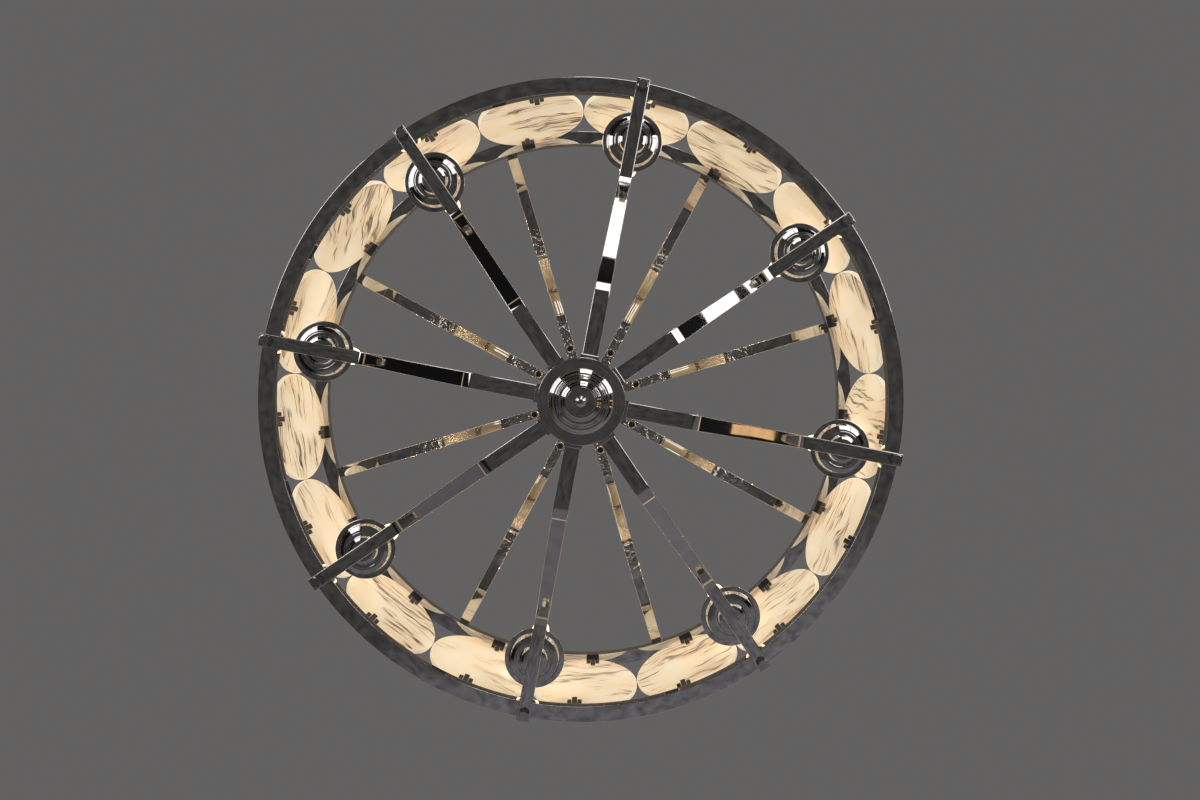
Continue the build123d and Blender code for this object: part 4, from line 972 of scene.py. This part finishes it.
# Canopy and collar: a bell spun from sheet, with a banded rim, hides the joint at the ceiling. A turned
# collar that is clamped on the stem holds it up, and both slide down the stem when the collar is let go.
COLLAR_RADIUS = 0.017
COLLAR_FOOT = 0.015
COLLAR_FIT = 0.00015
canopy_low, canopy_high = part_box("canopy")
CANOPY_RADIUS = canopy_high.x
BELL_ROUND = 0.046
BELL_SHEET = 0.0012
BAND_STEP = 0.0035
BAND_HEIGHT = 0.011
bell_wall = CANOPY_RADIUS - BAND_STEP
band_low = canopy_high.z - BAND_HEIGHT
bell_steps = 16
outside = []
inside = []
for place in range(bell_steps + 1):
    out, down = sin(pi / 2 * place / bell_steps), cos(pi / 2 * place / bell_steps)
    for side, rounding in ((outside, BELL_ROUND), (inside, BELL_ROUND - BELL_SHEET)):
        side.append((bell_wall - BELL_ROUND + rounding * out, canopy_low.z + BELL_ROUND - rounding * down))
band_outside = [
    (bell_wall, band_low), (CANOPY_RADIUS, band_low, 0.0008), (CANOPY_RADIUS, canopy_high.z, 0.0005),
]
band_inside = [
    (CANOPY_RADIUS - BELL_SHEET, canopy_high.z), (CANOPY_RADIUS - BELL_SHEET, band_low + BELL_SHEET),
    (bell_wall - BELL_SHEET, band_low + BELL_SHEET),
]
bell_outline = [(STEM_RADIUS + SEAT, canopy_low.z)] + outside + band_outside + band_inside
bell = turned(bell_outline + inside[::-1] + [(STEM_RADIUS + SEAT, canopy_low.z + BELL_SHEET)], steps=128)
finished(bell, "canopy_bell", "canopy", "canopy_metal", polished_nickel, "canopy", crease=40)
collar_low, collar_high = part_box("canopy_collar")
collar = turned([
    (STEM_RADIUS + COLLAR_FIT, collar_low.z), (COLLAR_FOOT, collar_low.z, 0.0004),
    (COLLAR_RADIUS, collar_low.z + 0.002, 0.0004), (COLLAR_RADIUS, collar_high.z, 0.0004),
    (STEM_RADIUS + COLLAR_FIT, collar_high.z),
], steps=64)
finished(collar, "stem_collar", "canopy", "canopy_metal", polished_nickel, "canopy_collar")


# Hidden hardware: the steel of the hang-straight joint, the wiring and the lampholders stay as the
# CAD made them, each with its own finish.
def plain(name, low_tone, high_tone, metallic, rough, scale, grain):
    """A worked surface: mottled colour, uneven gloss and a fine grain."""
    finish = Recipe(bpy.data.materials.new(name))
    place = finish.node("ShaderNodeTexCoord", output="Object")
    mottle = finish.node("ShaderNodeTexNoise", sockets={"Vector": place, "Scale": scale, "Detail": 4.0})
    fine = finish.node("ShaderNodeTexNoise", sockets={"Vector": place, "Scale": scale * 9, "Detail": 2.0})
    colour = finish.mix(mottle.within(0.3, 0.7), low_tone + (1,), high_tone + (1,))
    bump = finish.node("ShaderNodeBump", sockets={"Height": fine, "Strength": 0.3, "Distance": grain})
    surface = finish.node("ShaderNodeBsdfPrincipled", sockets={
        "Base Color": colour, "Metallic": metallic, "Roughness": mottle * 0.15 + rough, "Normal": bump,
    })
    finish.node("ShaderNodeOutputMaterial", sockets={0: surface})
    return finish.owner


zinc = plain("zinc_plated_steel", (0.50, 0.50, 0.49), (0.62, 0.61, 0.58), 1.0, 0.28, 90.0, 0.0003)
brass = plain("cap_brass", (0.62, 0.45, 0.22), (0.74, 0.56, 0.30), 1.0, 0.24, 120.0, 0.0002)
porcelain = plain("holder_ceramic", (0.74, 0.72, 0.68), (0.82, 0.80, 0.76), 0.0, 0.22, 70.0, 0.0002)
clear_flex = plain("lead_sheath", (0.52, 0.49, 0.44), (0.64, 0.61, 0.55), 0.0, 0.32, 160.0, 0.0002)
nylon = plain("terminal_nylon", (0.66, 0.65, 0.61), (0.76, 0.75, 0.70), 0.0, 0.42, 110.0, 0.0003)
HARDWARE = {
    "ceiling_bar": zinc, "hanger_fork": zinc, "upper_pin": zinc, "lower_pin": zinc,
    "swivel_block": zinc, "stem_fork": zinc, "bulb_caps": brass, "lampholders": porcelain,
    "lamp_leads": clear_flex, "supply_cable": clear_flex, "terminals": nylon,
}
for node, finish in HARDWARE.items():
    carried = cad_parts[node]
    carried.data.materials.clear()
    carried.data.materials.append(finish)
